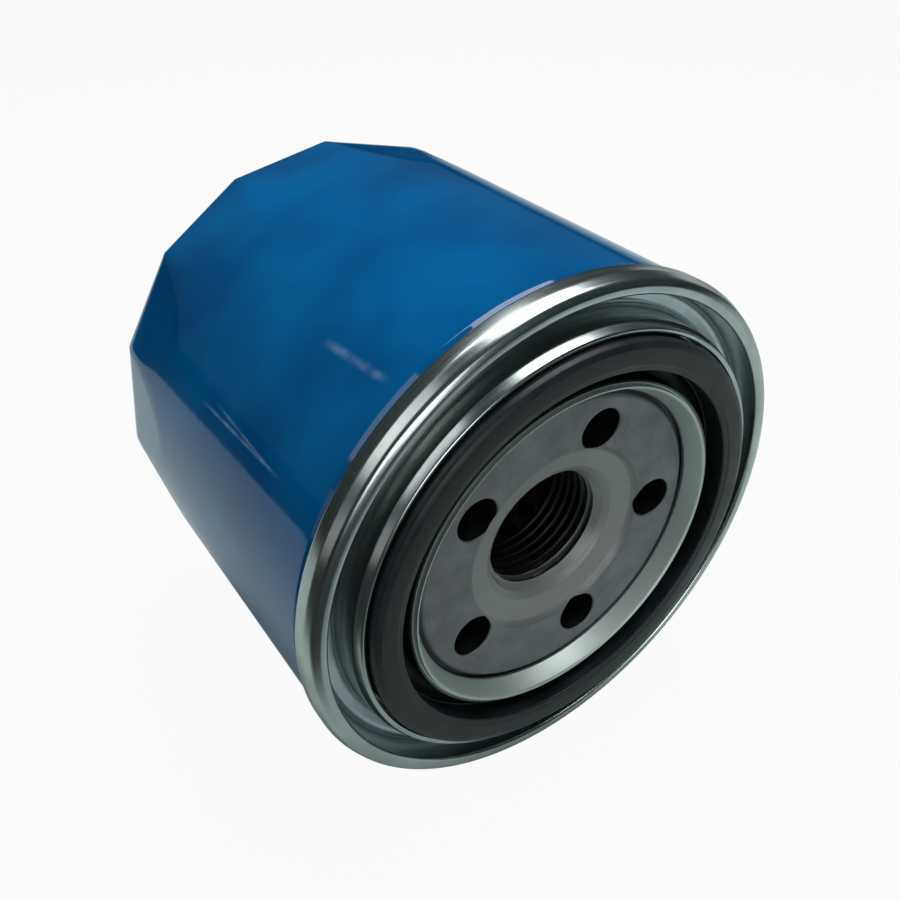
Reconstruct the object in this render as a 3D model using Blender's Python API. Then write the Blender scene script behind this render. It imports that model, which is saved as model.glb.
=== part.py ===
"""Spin-on oil filter, lying on its side.

The filter's axis is the Y axis. The open end, with its gasket, faces -Y, and the closed, fluted
end faces +Y. The origin is on the axis, in the plane of the gasket's sealing face, where the
engine's filter base meets it. Lengths in this file are in millimetres until MM turns them into
metres, and a "depth" is a distance from the sealing face along +Y.
"""

import math

import bmesh
import bpy
from mathutils import Matrix, Vector

MM = 0.001

# Driving dimensions, in millimetres.
SEAM_RADIUS = 40.0
SEAM_DEPTH = 2.2
SEAM_WIDTH = 2.5
SEAM_HEIGHT = 4.0
CAN_RADIUS = 39.45
CAN_WALL = 0.5
CAN_MOUTH = 3.7
CAN_LENGTH = 74.0
MOUTH_RADIUS = 39.2
MOUTH_END = 6.7
FLAT_COUNT = 15
FLATS_START = 51.7
FLATS_END = 67.0
FLATS_INSET = 1.15
CORNER_ANGLE = 16.5
SHOULDER_RADIUS = 7.0
DOME_CROWN = 1.3

SHEET = 0.6
RECESS_DEPTH = 7.2
RIDGE_RADIUS = 33.5
RIDGE_DEPTH = 1.2
GROOVE_OUTER = 32.8
GROOVE_INNER = 26.1
GROOVE_FLOOR = 4.4
LIP_RADIUS = 23.9
LIP_DEPTH = 4.1
LIP_TOP = 1.3

GASKET_INNER = 28.2
GASKET_BEVEL = 0.4

PLATE_RADIUS = 33.2
PLATE_THICKNESS = 3.0
PLATE_RIM_DEPTH = 5.3
FACE_RADIUS = 23.0
FACE_DEPTH = 3.9
FACE_DISH = 0.5
HUB_RADIUS = 14.3
HUB_DEPTH = 5.2
HUB_STEP = 0.8
THREAD_START = 7.6
THREAD_MINOR = 9.25
THREAD_MAJOR = 10.0
NECK_RADIUS = 12.6
NECK_END = 17.6
INLET_COUNT = 5
INLET_RADIUS = 3.2
INLET_CIRCLE = 17.8
INLET_ANGLE = -1.0

GAP = 0.3
CAP_SHEET = 0.4
ELEMENT_RADIUS = 33.8
ELEMENT_START = 18.0
ELEMENT_END = 58.4
CAP_RIM = 3.2
POTTING = 1.5
PLEATS = 44
PAPER = 0.6
PAPER_OUTER = 32.2
PAPER_INNER = 14.8
PLEAT_FOLD = 0.9
TUBE_RADIUS = 13.1
TUBE_WALL = 0.5

BOSS_RADIUS = 10.8
BOSS_HEIGHT = 2.5
BYPASS_BORE = 6.4
CAGE_RADIUS = 9.7
CAGE_LENGTH = 12.0
POPPET_RADIUS = 8.2
POPPET_LENGTH = 6.0
STEM_RADIUS = 2.4
BYPASS_WIRE = 1.0
BYPASS_TURNS = 4
ELEMENT_WIRE = 1.6
ELEMENT_TURNS = 3

VALVE_WALL = 2.2
VALVE_COLLAR_START = 12.0
VALVE_LAP = 5.0

SIDES = FLAT_COUNT * 3
INNER_SIDES = 36
VALVE_SIDES = 24
COIL_STEPS = 12


def finish(name, color, metallic, roughness):
    """A material from one colour and how metallic and how rough it is."""
    material = bpy.data.materials.new(name)
    material.use_nodes = True
    shader = material.node_tree.nodes["Principled BSDF"]
    shader.inputs["Base Color"].default_value = (*color, 1.0)
    shader.inputs["Metallic"].default_value = metallic
    shader.inputs["Roughness"].default_value = roughness
    return material


BLUE_PAINT = ("blue_paint", (0.0, 0.075, 0.26), 0.0, 0.2)
ZINC = ("zinc_plate", (0.60, 0.63, 0.62), 1.0, 0.3)
BARE_STEEL = ("bare_steel", (0.10, 0.115, 0.12), 0.6, 0.5)
BLACK_RUBBER = ("black_rubber", (0.016, 0.018, 0.02), 0.0, 0.45)
CREAM_PAPER = ("cream_paper", (0.72, 0.58, 0.33), 0.0, 0.9)
TIN_STEEL = ("tin_steel", (0.55, 0.54, 0.52), 1.0, 0.35)
SPRING_STEEL = ("spring_steel", (0.35, 0.34, 0.33), 1.0, 0.3)
ADHESIVE = ("adhesive", (0.55, 0.40, 0.22), 0.0, 0.5)
NYLON = ("black_nylon", (0.03, 0.03, 0.03), 0.0, 0.5)


def add_object(name, bm, look, modifiers=()):
    """Turns a bmesh, in millimetres, into a named object with its own material."""
    bmesh.ops.scale(bm, vec=(MM, MM, MM), verts=bm.verts)
    mesh = bpy.data.meshes.new(name)
    bm.to_mesh(mesh)
    bm.free()
    mesh.shade_smooth()
    mesh.set_sharp_from_angle(angle=math.radians(35))
    obj = bpy.data.objects.new(name, mesh)
    obj.data.materials.append(finish(f"{name}_{look[0]}", *look[1:]))
    bpy.context.scene.collection.objects.link(obj)
    for kind, settings in modifiers:
        modifier = obj.modifiers.new(kind.title(), kind)
        for setting, value in settings.items():
            setattr(modifier, setting, value)
    return obj


def spin(bm, profile, closed, sides):
    """Turns a line of (radius, depth) points round the Y axis."""
    verts = [bm.verts.new((radius, depth, 0.0)) for radius, depth in profile]
    pairs = list(zip(verts, verts[1:]))
    if closed:
        pairs.append((verts[-1], verts[0]))
    edges = [bm.edges.new(pair) for pair in pairs]
    bmesh.ops.spin(
        bm,
        geom=verts + edges,
        cent=(0.0, 0.0, 0.0),
        axis=(0.0, 1.0, 0.0),
        angle=math.tau,
        steps=sides,
        use_merge=True,
    )
    bmesh.ops.remove_doubles(bm, verts=bm.verts, dist=1e-4)
    bmesh.ops.recalc_face_normals(bm, faces=bm.faces)


def turned(name, profile, look, sides=SIDES, modifiers=()):
    """A solid of revolution from its closed section, as (radius, depth) points."""
    bm = bmesh.new()
    spin(bm, profile, True, sides)
    return add_object(name, bm, look, modifiers)


def ring_section(inner, outer, start, end):
    """The section of a plain ring."""
    return [(inner, start), (outer, start), (outer, end), (inner, end)]


def arc(center, radius, first, last, steps):
    """Points of a section's round corner, with its angles in degrees from +radius to +depth."""
    points = []
    for step in range(steps + 1):
        angle = math.radians(first + (last - first) * step / steps)
        points.append((center[0] + radius * math.cos(angle), center[1] + radius * math.sin(angle)))
    return points


def pierced_shell(name, profile, look, sides, is_hole, wall):
    """Sheet metal turned from an open section, with the cells chosen by is_hole cut away."""
    bm = bmesh.new()
    spin(bm, profile, False, sides)
    holes = []
    for face in bm.faces:
        middle = face.calc_center_median()
        column = round(math.degrees(math.atan2(middle.z, middle.x)) % 360 * sides / 360 - 0.5)
        if is_hole(column % sides, middle.y):
            holes.append(face)
    bmesh.ops.delete(bm, geom=holes, context="FACES")
    bmesh.ops.recalc_face_normals(bm, faces=bm.faces)
    solidify = ("SOLIDIFY", {"thickness": wall * MM, "offset": 0.0, "use_even_offset": True})
    return add_object(name, bm, look, [solidify])


def coil(name, look, wire, turns, start, end, start_radius, end_radius):
    """A compression spring: a helix along Y whose radius may change from end to end."""
    steps = turns * COIL_STEPS
    curve = bpy.data.curves.new(name, "CURVE")
    curve.dimensions = "3D"
    curve.bevel_depth = wire / 2 * MM
    curve.bevel_resolution = 1
    curve.use_fill_caps = True
    spline = curve.splines.new("POLY")
    spline.points.add(steps)
    for step, point in enumerate(spline.points):
        along = step / steps
        angle = math.tau * turns * along
        radius = start_radius + (end_radius - start_radius) * along
        place = Vector((radius * math.cos(angle), start + (end - start) * along, radius * math.sin(angle)))
        point.co = (*(place * MM), 1.0)
    obj = bpy.data.objects.new(name, curve)
    curve.materials.append(finish(f"{name}_{look[0]}", *look[1:]))
    bpy.context.scene.collection.objects.link(obj)
    return obj


def flat_inset(depth):
    """How far the flats are pressed in at this depth."""
    share = (depth - FLATS_START) / (FLATS_END - FLATS_START)
    return FLATS_INSET * min(max(share, 0.0), 1.0)


def press_flats(bm):
    """Presses the flats into the closed end: each is a plane that no point may lie outside."""
    half = math.pi / FLAT_COUNT
    corner = math.radians(CORNER_ANGLE)
    for vert in bm.verts:
        radius = math.hypot(vert.co.x, vert.co.z)
        inset = flat_inset(vert.co.y)
        if radius < 1.0 or inset == 0.0:
            continue
        angle = math.atan2(vert.co.z, vert.co.x)
        off_middle = (angle - corner) % (2 * half) - half
        fade = min(radius / CAN_RADIUS, 1.0) ** 3
        reach = (radius - inset * fade) / math.cos(off_middle)
        if reach < radius:
            vert.co.x *= reach / radius
            vert.co.z *= reach / radius


def can_outline(radius, end):
    """Half of the can's section, from its necked mouth to the middle of its closed end."""
    shoulder = SHOULDER_RADIUS - (CAN_RADIUS - radius)
    flat_end = end - DOME_CROWN
    corner = arc((radius - shoulder, flat_end - shoulder), shoulder, 0, 80, 4)
    mouth = radius - (CAN_RADIUS - MOUTH_RADIUS)
    steps = [
        (mouth, CAN_MOUTH),
        (mouth, MOUTH_END),
        (radius, MOUTH_END + 0.6),
        (radius, FLATS_START),
        (radius, (FLATS_START + FLATS_END) / 2),
    ]
    return steps + corner + [(radius * 0.45, end - DOME_CROWN * 0.3), (0.0, end)]


def make_can():
    """The deep-drawn can, whose closed end carries the flats for a cap wrench."""
    outside = can_outline(CAN_RADIUS, CAN_LENGTH)
    inside = can_outline(CAN_RADIUS - CAN_WALL, CAN_LENGTH - CAN_WALL)
    bm = bmesh.new()
    spin(bm, outside + inside[::-1], True, SIDES)
    to_corner = Matrix.Rotation(math.radians(-CORNER_ANGLE), 3, "Y")
    bmesh.ops.rotate(bm, matrix=to_corner, verts=bm.verts)
    press_flats(bm)
    add_object("can", bm, BLUE_PAINT)


def make_lid():
    """The pressed lid: rolled seam, recess, gasket groove and the lip that holds the plate."""
    seam_inner = SEAM_RADIUS - SEAM_WIDTH
    hook = MOUTH_RADIUS + GAP
    front = [
        (hook, SEAM_DEPTH + SEAM_HEIGHT),
        (SEAM_RADIUS, SEAM_DEPTH + SEAM_HEIGHT - 0.3),
        (SEAM_RADIUS, SEAM_DEPTH + 0.8),
        (SEAM_RADIUS - 0.6, SEAM_DEPTH),
        (seam_inner + 0.5, SEAM_DEPTH),
        (seam_inner, SEAM_DEPTH + 0.6),
        (seam_inner - 0.3, RECESS_DEPTH),
        (RIDGE_RADIUS + 0.9, RECESS_DEPTH),
        (RIDGE_RADIUS + 0.3, RIDGE_DEPTH + 0.3),
        (RIDGE_RADIUS, RIDGE_DEPTH),
        (GROOVE_OUTER, RIDGE_DEPTH + 0.3),
        (GROOVE_OUTER, GROOVE_FLOOR),
        (GROOVE_INNER, GROOVE_FLOOR),
        (GROOVE_INNER, LIP_TOP + 0.4),
        (GROOVE_INNER - 0.3, LIP_TOP),
        (GROOVE_INNER - 0.7, LIP_TOP),
        (LIP_RADIUS, LIP_DEPTH),
    ]
    back = [
        (LIP_RADIUS + 0.2, LIP_DEPTH + SHEET),
        (LIP_RADIUS + 0.7, LIP_DEPTH + SHEET - 0.1),
        (GROOVE_INNER - 0.7, LIP_TOP + 2 * SHEET),
        (GROOVE_INNER - SHEET, GROOVE_FLOOR + SHEET),
        (RIDGE_RADIUS + 0.2, GROOVE_FLOOR + SHEET),
        (RIDGE_RADIUS + 0.4, RECESS_DEPTH + SHEET),
        (seam_inner + 0.3, RECESS_DEPTH + SHEET),
        (seam_inner + 0.6, SEAM_DEPTH + 0.7),
        (hook, SEAM_DEPTH + 0.7),
    ]
    turned("seaming_lid", front + back, ZINC)
    inside = MOUTH_RADIUS - CAN_WALL
    compound = ring_section(inside - 0.3, MOUTH_RADIUS - 0.1, SEAM_DEPTH + 0.9, CAN_MOUTH - 0.2)
    turned("seam_compound", compound, BLACK_RUBBER)


def inlet_cutter():
    """One hidden cutter object that holds all the inlet holes' cylinders."""
    bm = bmesh.new()
    turn = Matrix.Rotation(math.radians(90), 4, "X")
    for index in range(INLET_COUNT):
        angle = math.radians(INLET_ANGLE + 360 / INLET_COUNT * index)
        place = (INLET_CIRCLE * math.cos(angle), PLATE_RIM_DEPTH, INLET_CIRCLE * math.sin(angle))
        bmesh.ops.create_cone(
            bm,
            cap_ends=True,
            segments=20,
            radius1=INLET_RADIUS,
            radius2=INLET_RADIUS,
            depth=20.0,
            matrix=Matrix.Translation(place) @ turn,
        )
    bmesh.ops.recalc_face_normals(bm, faces=bm.faces)
    cutter = add_object("inlet_cutter", bm, NYLON)
    cutter.hide_render = True
    cutter.display_type = "WIRE"
    return cutter


def make_plate():
    """The thick tapping plate: a raised face with the inlet holes, round the sunken threaded hub.

    The bore is cut at the thread's minor radius; an M20 x 1.5 thread is cut into it."""
    face_inner = HUB_RADIUS + HUB_STEP
    front = [
        (PLATE_RADIUS, PLATE_RIM_DEPTH),
        (FACE_RADIUS + 0.6, PLATE_RIM_DEPTH),
        (FACE_RADIUS, FACE_DEPTH),
        (face_inner, FACE_DEPTH + FACE_DISH),
        (HUB_RADIUS, HUB_DEPTH),
        (THREAD_MAJOR + 1.2, HUB_DEPTH + HUB_STEP),
        (THREAD_MAJOR + 0.2, THREAD_START - 0.9),
        (THREAD_MINOR, THREAD_START),
        (THREAD_MINOR, NECK_END),
    ]
    back = [
        (NECK_RADIUS, NECK_END),
        (NECK_RADIUS, HUB_DEPTH + PLATE_THICKNESS + 1.4),
        (HUB_RADIUS - 0.3, HUB_DEPTH + PLATE_THICKNESS + 0.2),
        (face_inner + 0.9, FACE_DEPTH + FACE_DISH + PLATE_THICKNESS + 0.1),
        (FACE_RADIUS - 0.6, FACE_DEPTH + PLATE_THICKNESS),
        (FACE_RADIUS + 1.0, PLATE_RIM_DEPTH + PLATE_THICKNESS),
        (PLATE_RADIUS, PLATE_RIM_DEPTH + PLATE_THICKNESS),
    ]
    cut = ("BOOLEAN", {"operation": "DIFFERENCE", "solver": "EXACT", "object": inlet_cutter()})
    turned("tapping_plate", front + back, BARE_STEEL, modifiers=[cut])


def make_gasket():
    """The square-cut gasket against the groove's outer wall, proud of the seam."""
    outer = GROOVE_OUTER - GAP
    end = GROOVE_FLOOR - GAP
    section = [
        (GASKET_INNER + GASKET_BEVEL, 0.0),
        (outer - GASKET_BEVEL, 0.0),
        (outer, GASKET_BEVEL),
        (outer, end),
        (GASKET_INNER, end),
        (GASKET_INNER, GASKET_BEVEL),
    ]
    turned("sealing_gasket", section, BLACK_RUBBER)


def make_drainback_valve():
    """The rubber valve round the plate's neck, whose lip closes the inlet holes from behind."""
    bore = NECK_RADIUS + GAP
    collar = bore + VALVE_WALL
    back_of_plate = PLATE_RIM_DEPTH + PLATE_THICKNESS
    rim = INLET_CIRCLE + INLET_RADIUS + VALVE_LAP
    start = VALVE_COLLAR_START
    end = ELEMENT_START - GAP
    section = [
        (bore, start),
        (collar - 0.6, start),
        (rim - 2.5, back_of_plate + 0.5),
        (rim, back_of_plate + GAP),
        (rim + 0.4, back_of_plate + GAP + 0.8),
        (rim - 2.3, back_of_plate + 1.7),
        (collar, start + 1.4),
        (collar, end),
        (bore, end),
    ]
    turned("anti_drainback_valve", section, BLACK_RUBBER, INNER_SIDES)


def make_end_caps():
    """The steel caps of the element and the adhesive inside them."""
    inner = TUBE_RADIUS - 0.9
    rim_inner = ELEMENT_RADIUS - CAP_SHEET
    start = ELEMENT_START
    outlet = [
        (inner, start),
        (ELEMENT_RADIUS, start),
        (ELEMENT_RADIUS, start + CAP_RIM),
        (rim_inner, start + CAP_RIM),
        (rim_inner, start + CAP_SHEET),
        (inner, start + CAP_SHEET),
    ]
    turned("outlet_end_cap", outlet, TIN_STEEL, INNER_SIDES)
    end = ELEMENT_END
    boss_end = end + BOSS_HEIGHT
    dome = [
        (ELEMENT_RADIUS, end - CAP_RIM),
        (ELEMENT_RADIUS, end),
        (BOSS_RADIUS + 0.3, end),
        (BOSS_RADIUS, boss_end),
        (BYPASS_BORE, boss_end),
        (BYPASS_BORE, boss_end - CAP_SHEET),
        (BOSS_RADIUS - CAP_SHEET, boss_end - CAP_SHEET),
        (BOSS_RADIUS - CAP_SHEET + 0.3, end - CAP_SHEET),
        (rim_inner, end - CAP_SHEET),
        (rim_inner, end - CAP_RIM),
    ]
    turned("dome_end_cap", dome, TIN_STEEL, INNER_SIDES)
    bore = TUBE_RADIUS + GAP
    edge = rim_inner - GAP
    near = start + CAP_SHEET + GAP
    far = end - CAP_SHEET - GAP
    outlet_ring = ring_section(bore, edge, near, near + POTTING)
    dome_ring = ring_section(bore, edge, far - POTTING, far)
    turned("outlet_potting", outlet_ring, ADHESIVE, INNER_SIDES)
    turned("dome_potting", dome_ring, ADHESIVE, INNER_SIDES)


def paper_span():
    """Depths where the filter paper starts and ends, just inside the adhesive."""
    start = ELEMENT_START + CAP_SHEET + POTTING + 2 * GAP
    end = ELEMENT_END - CAP_SHEET - POTTING - 2 * GAP
    return start, end


def make_media():
    """The pleated paper, folded into a star, and the clip over the joint of its ends."""
    start, end = paper_span()
    bm = bmesh.new()
    ring = []
    for fold in range(2 * PLEATS):
        radius = PAPER_OUTER if fold % 2 == 0 else PAPER_INNER
        middle = math.pi * fold / PLEATS
        half = PLEAT_FOLD / 2 / radius
        for angle in (middle - half, middle + half):
            ring.append(bm.verts.new((radius * math.cos(angle), start, radius * math.sin(angle))))
    edges = [bm.edges.new(pair) for pair in zip(ring, ring[1:] + ring[:1])]
    swept = bmesh.ops.extrude_edge_only(bm, edges=edges)["geom"]
    moved = [item for item in swept if isinstance(item, bmesh.types.BMVert)]
    bmesh.ops.translate(bm, verts=moved, vec=(0.0, end - start, 0.0))
    bmesh.ops.recalc_face_normals(bm, faces=bm.faces)
    solidify = ("SOLIDIFY", {"thickness": PAPER * MM, "offset": 0.0, "use_even_offset": True})
    add_object("pleated_media", bm, CREAM_PAPER, [solidify])

    clip = bmesh.new()
    bmesh.ops.create_cube(clip, size=1.0)
    bmesh.ops.scale(clip, vec=(4.6, end - start - 1.0, 1.0), verts=clip.verts)
    bmesh.ops.translate(clip, vec=(PAPER_OUTER - 2.8, (start + end) / 2, 0.0), verts=clip.verts)
    half_pitch = Matrix.Rotation(math.pi / PLEATS, 3, "Y")
    bmesh.ops.rotate(clip, matrix=half_pitch, verts=clip.verts)
    add_object("media_seam_clip", clip, TIN_STEEL)


def make_centre_tube():
    """The perforated steel tube that holds the paper up from inside."""
    rows = 9
    start = ELEMENT_START + CAP_SHEET + GAP
    end = ELEMENT_END - CAP_SHEET - GAP
    depths = [start + (end - start) * row / rows for row in range(rows + 1)]
    radius = TUBE_RADIUS - TUBE_WALL / 2

    def is_hole(column, depth):
        row = int((depth - start) / (end - start) * rows)
        return row % 2 == 1 and column % 3 == row // 2 % 3

    line = [(radius, depth) for depth in depths]
    pierced_shell("centre_tube", line, TIN_STEEL, VALVE_SIDES, is_hole, TUBE_WALL)


def make_bypass_valve():
    """The relief valve under the dome end cap: cage, seal, poppet, spring and its seat."""
    boss_end = ELEMENT_END + BOSS_HEIGHT - CAP_SHEET
    seal_start = boss_end - GAP - 0.7
    turned(
        "bypass_seal",
        ring_section(BYPASS_BORE, POPPET_RADIUS + 0.6, seal_start, boss_end - GAP),
        BLACK_RUBBER,
        VALVE_SIDES,
    )
    face = seal_start - GAP
    stem_end = face - POPPET_LENGTH
    poppet = [
        (0.0, face),
        (0.0, stem_end),
        (STEM_RADIUS - 0.6, stem_end),
        (STEM_RADIUS, stem_end + 0.6),
        (STEM_RADIUS, face - 1.6),
        (POPPET_RADIUS - 0.6, face - 1.0),
        (POPPET_RADIUS, face - 0.6),
        (POPPET_RADIUS, face - 0.2),
        (POPPET_RADIUS - 0.2, face),
    ]
    turned("bypass_poppet", poppet, NYLON, VALVE_SIDES)

    flange = ELEMENT_END - CAP_SHEET - GAP - 0.2
    bottom = flange - CAGE_LENGTH
    wall = CAGE_RADIUS - 0.2
    cage_line = [
        (wall - 1.6, bottom),
        (wall, bottom),
        (wall, bottom + 2.5),
        (wall, bottom + 8.5),
        (wall, flange),
        (TUBE_RADIUS - TUBE_WALL - GAP - 0.4, flange),
    ]

    def is_window(column, depth):
        return bottom + 2.5 < depth < bottom + 8.5 and column % 6 < 4

    pierced_shell("bypass_cage", cage_line, TIN_STEEL, VALVE_SIDES, is_window, 0.4)
    seat_end = bottom + 1.4
    seat = [
        (3.4, bottom + 0.7),
        (wall - 0.5, bottom + 0.7),
        (wall - 0.5, seat_end),
        (4.6, seat_end),
        (4.6, seat_end + 1.0),
        (3.4, seat_end + 1.0),
    ]
    turned("bypass_spring_seat", seat, TIN_STEEL, VALVE_SIDES)
    spring_start = seat_end + GAP + BYPASS_WIRE / 2
    spring_end = face - 1.3 - GAP - BYPASS_WIRE / 2
    coil(
        "bypass_spring", SPRING_STEEL, BYPASS_WIRE, BYPASS_TURNS, spring_start, spring_end, 6.2, 6.2
    )


def make_element_spring():
    """The conical spring that holds the element against the valve and the plate."""
    start = ELEMENT_END + GAP + ELEMENT_WIRE / 2
    end = CAN_LENGTH - DOME_CROWN - CAN_WALL - GAP - ELEMENT_WIRE / 2
    coil("element_spring", SPRING_STEEL, ELEMENT_WIRE, ELEMENT_TURNS, start, end, 13.5, 20.0)


def main():
    for obj in list(bpy.data.objects):
        bpy.data.objects.remove(obj)
    make_can()
    make_lid()
    make_plate()
    make_gasket()
    make_drainback_valve()
    make_end_caps()
    make_media()
    make_centre_tube()
    make_bypass_valve()
    make_element_spring()


main()
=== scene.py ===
"""Looks of a spin-on oil filter that lies on its side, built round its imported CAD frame.

Lengths are millimetres until a mesh is finished, when MM turns them into metres. A "depth" is a
distance from the gasket's sealing face along +Y, the filter's axis, and an "angle" turns round
that axis from +X towards +Z.
"""

import functools
import logging
import math
from collections.abc import Callable, Sequence
from dataclasses import dataclass, field
from enum import Enum
from typing import Any

import bmesh
import bpy
from mathutils import Matrix, Vector


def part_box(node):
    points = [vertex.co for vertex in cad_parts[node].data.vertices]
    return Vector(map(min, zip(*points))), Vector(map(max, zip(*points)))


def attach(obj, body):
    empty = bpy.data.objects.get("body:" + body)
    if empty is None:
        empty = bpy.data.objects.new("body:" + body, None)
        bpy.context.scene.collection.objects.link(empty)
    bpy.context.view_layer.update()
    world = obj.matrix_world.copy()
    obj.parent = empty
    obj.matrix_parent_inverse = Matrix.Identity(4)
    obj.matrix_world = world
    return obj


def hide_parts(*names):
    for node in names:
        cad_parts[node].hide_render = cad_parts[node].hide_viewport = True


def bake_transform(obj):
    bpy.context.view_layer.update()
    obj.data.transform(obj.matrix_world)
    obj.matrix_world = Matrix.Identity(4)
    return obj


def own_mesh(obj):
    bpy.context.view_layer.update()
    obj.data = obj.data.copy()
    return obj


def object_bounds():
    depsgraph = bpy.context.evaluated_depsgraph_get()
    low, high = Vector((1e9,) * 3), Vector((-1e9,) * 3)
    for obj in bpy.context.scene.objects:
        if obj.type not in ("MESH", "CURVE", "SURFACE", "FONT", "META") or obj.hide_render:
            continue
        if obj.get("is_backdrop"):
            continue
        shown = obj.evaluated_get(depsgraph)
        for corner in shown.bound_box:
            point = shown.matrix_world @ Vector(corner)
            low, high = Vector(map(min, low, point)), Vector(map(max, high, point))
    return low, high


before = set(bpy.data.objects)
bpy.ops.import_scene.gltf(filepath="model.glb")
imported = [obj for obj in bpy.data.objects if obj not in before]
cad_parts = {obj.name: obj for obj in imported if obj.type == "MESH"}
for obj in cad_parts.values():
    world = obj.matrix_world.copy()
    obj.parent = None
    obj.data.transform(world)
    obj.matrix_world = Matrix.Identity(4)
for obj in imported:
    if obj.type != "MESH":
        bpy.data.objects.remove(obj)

log = logging.getLogger("oil_filter")

MM = 0.001
RIM_SIDES = 256
FINE_SIDES = 192
SMALL_SIDES = 96
SHARP_EDGE = math.radians(32)

Corner = tuple[float, float, float]
Point = tuple[float, float]
Put = Callable[..., bpy.types.Node]


class Body(str, Enum):
    """The CAD bodies that a piece can ride on."""

    HOUSING = "housing"
    ELEMENT = "element"
    POPPET = "poppet"
    LIP = "drainback_lip"


class Slot(str, Enum):
    """The record's material slots."""

    BLUE_PAINT = "blue_paint"
    ZINC = "zinc_plate"
    BARE_STEEL = "bare_steel"
    RUBBER = "black_rubber"
    TIN = "tin_steel"
    SPRING = "spring_steel"
    PAPER = "cream_paper"
    ADHESIVE = "adhesive"
    NYLON = "black_nylon"


# ---------------------------------------------------------------------------- nodes and colours


def add_node(tree: bpy.types.NodeTree, kind: str, links: dict[Any, Any], **settings: Any) -> bpy.types.Node:
    """Adds a node with its settings and links.

    Args:
        tree: the shader or geometry tree that gets the node.
        kind: the node's type name.
        links: for each input, by name or number, a node, a socket or a plain value.
        settings: attributes of the node itself.

    Returns:
        The new node.
    """
    node = tree.nodes.new(kind)
    for name, value in settings.items():
        setattr(node, name, value)
    feed(tree, node, links)
    return node


def feed(tree: bpy.types.NodeTree, node: bpy.types.Node, links: dict[Any, Any]) -> None:
    """Fills a node's inputs.

    Args:
        tree: the tree that the node is in.
        node: the node.
        links: for each input, by name or number, a node, a socket or a plain value.
    """
    for key, value in links.items():
        if isinstance(value, bpy.types.Node):
            value = value.outputs[0]
        if isinstance(value, bpy.types.NodeSocket):
            tree.links.new(value, node.inputs[key])
        else:
            node.inputs[key].default_value = value


def reckon(put: Put, operation: str, *terms: Any, **settings: Any) -> bpy.types.Node:
    """A step of arithmetic in any tree."""
    return put("ShaderNodeMath", dict(enumerate(terms)), operation=operation, **settings)


def mixed_color(put: Put, factor: Any, one: Any, other: Any) -> bpy.types.NodeSocket:
    """The colour between two, by a factor from 0 to 1."""
    node = put("ShaderNodeMix", {"Factor": factor, 6: one, 7: other}, data_type="RGBA")
    return node.outputs[2]


def ranged(
    put: Put, value: Any, low: Any, high: Any, to_low: float = 0.0, to_high: float = 1.0
) -> bpy.types.Node:
    """A value clamped to a range and stretched to another."""
    ends = {"From Min": low, "From Max": high, "To Min": to_low, "To Max": to_high}
    return put("ShaderNodeMapRange", {"Value": value, **ends})


def noise(put: Put, place: Any, scale: float, detail: float, roughness: float = 0.5) -> bpy.types.Node:
    """Soft noise at a place."""
    values = {"Vector": place, "Scale": scale, "Detail": detail, "Roughness": roughness}
    return put("ShaderNodeTexNoise", values)


def linear(color: str) -> tuple[float, float, float, float]:
    """Turns an sRGB hex colour into linear RGBA.

    Args:
        color: the colour as "#RRGGBB".

    Returns:
        The linear colour, opaque.
    """
    channels = [int(color[start : start + 2], 16) / 255 for start in (1, 3, 5)]
    values = [c / 12.92 if c <= 0.04045 else ((c + 0.055) / 1.055) ** 2.4 for c in channels]
    return (values[0], values[1], values[2], 1.0)


@dataclass(frozen=True)
class Finish:
    """What every finish has: a name, and the shader that its own build method dresses."""

    name: str

    def start(self) -> tuple[bpy.types.Material, Put, bpy.types.Node, bpy.types.Node]:
        """Makes the empty material.

        Returns:
            The material, a function that adds nodes to it, its shader, and the object
            coordinates in millimetres.
        """
        material = bpy.data.materials.new(self.name)
        material.use_nodes = True
        tree = material.node_tree
        put = functools.partial(add_node, tree)
        shader = tree.nodes["Principled BSDF"]
        place = put("ShaderNodeTexCoord", {})
        values = {"Vector": place.outputs["Object"], "Scale": (1000, 1000, 1000)}
        millimetres = put("ShaderNodeMapping", values)
        return material, put, shader, millimetres

    def build(self) -> bpy.types.Material:
        """Makes the material."""
        return self.start()[0]


@functools.cache
def material_of(finish: Finish) -> bpy.types.Material:
    """The one material of a finish, made when it is first asked for."""
    return finish.build()


def round_the_axis(put: Put, millimetres: bpy.types.Node, along: float) -> bpy.types.Node:
    """A vector for marks that run round the axis, as a press tool or a lathe leaves them.

    Args:
        put: adds a node to the material.
        millimetres: the object coordinates in millimetres.
        along: how fast the pattern changes along the marks, as a share of across them.

    Returns:
        The node whose output is (radius, depth, distance along the mark times along).
    """
    parts = put("ShaderNodeSeparateXYZ", {"Vector": millimetres})
    flat = put("ShaderNodeCombineXYZ", {"X": parts.outputs["X"], "Y": parts.outputs["Z"]})
    radius = put("ShaderNodeVectorMath", {0: flat}, operation="LENGTH").outputs["Value"]
    slow = put("ShaderNodeVectorMath", {0: flat, "Scale": along}, operation="SCALE")
    aside = put("ShaderNodeSeparateXYZ", {"Vector": slow})
    lift = reckon(put, "ADD", parts.outputs["Y"], aside.outputs["X"])
    return put("ShaderNodeCombineXYZ", {"X": radius, "Y": lift, "Z": aside.outputs["Y"]})


@dataclass(frozen=True)
class Scuff:
    """A pale streak along the can: angle, width and lean (per millimetre) in degrees, ends in millimetres."""

    angle: float
    start: float
    end: float
    width: float
    lean: float
    strength: float


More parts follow.
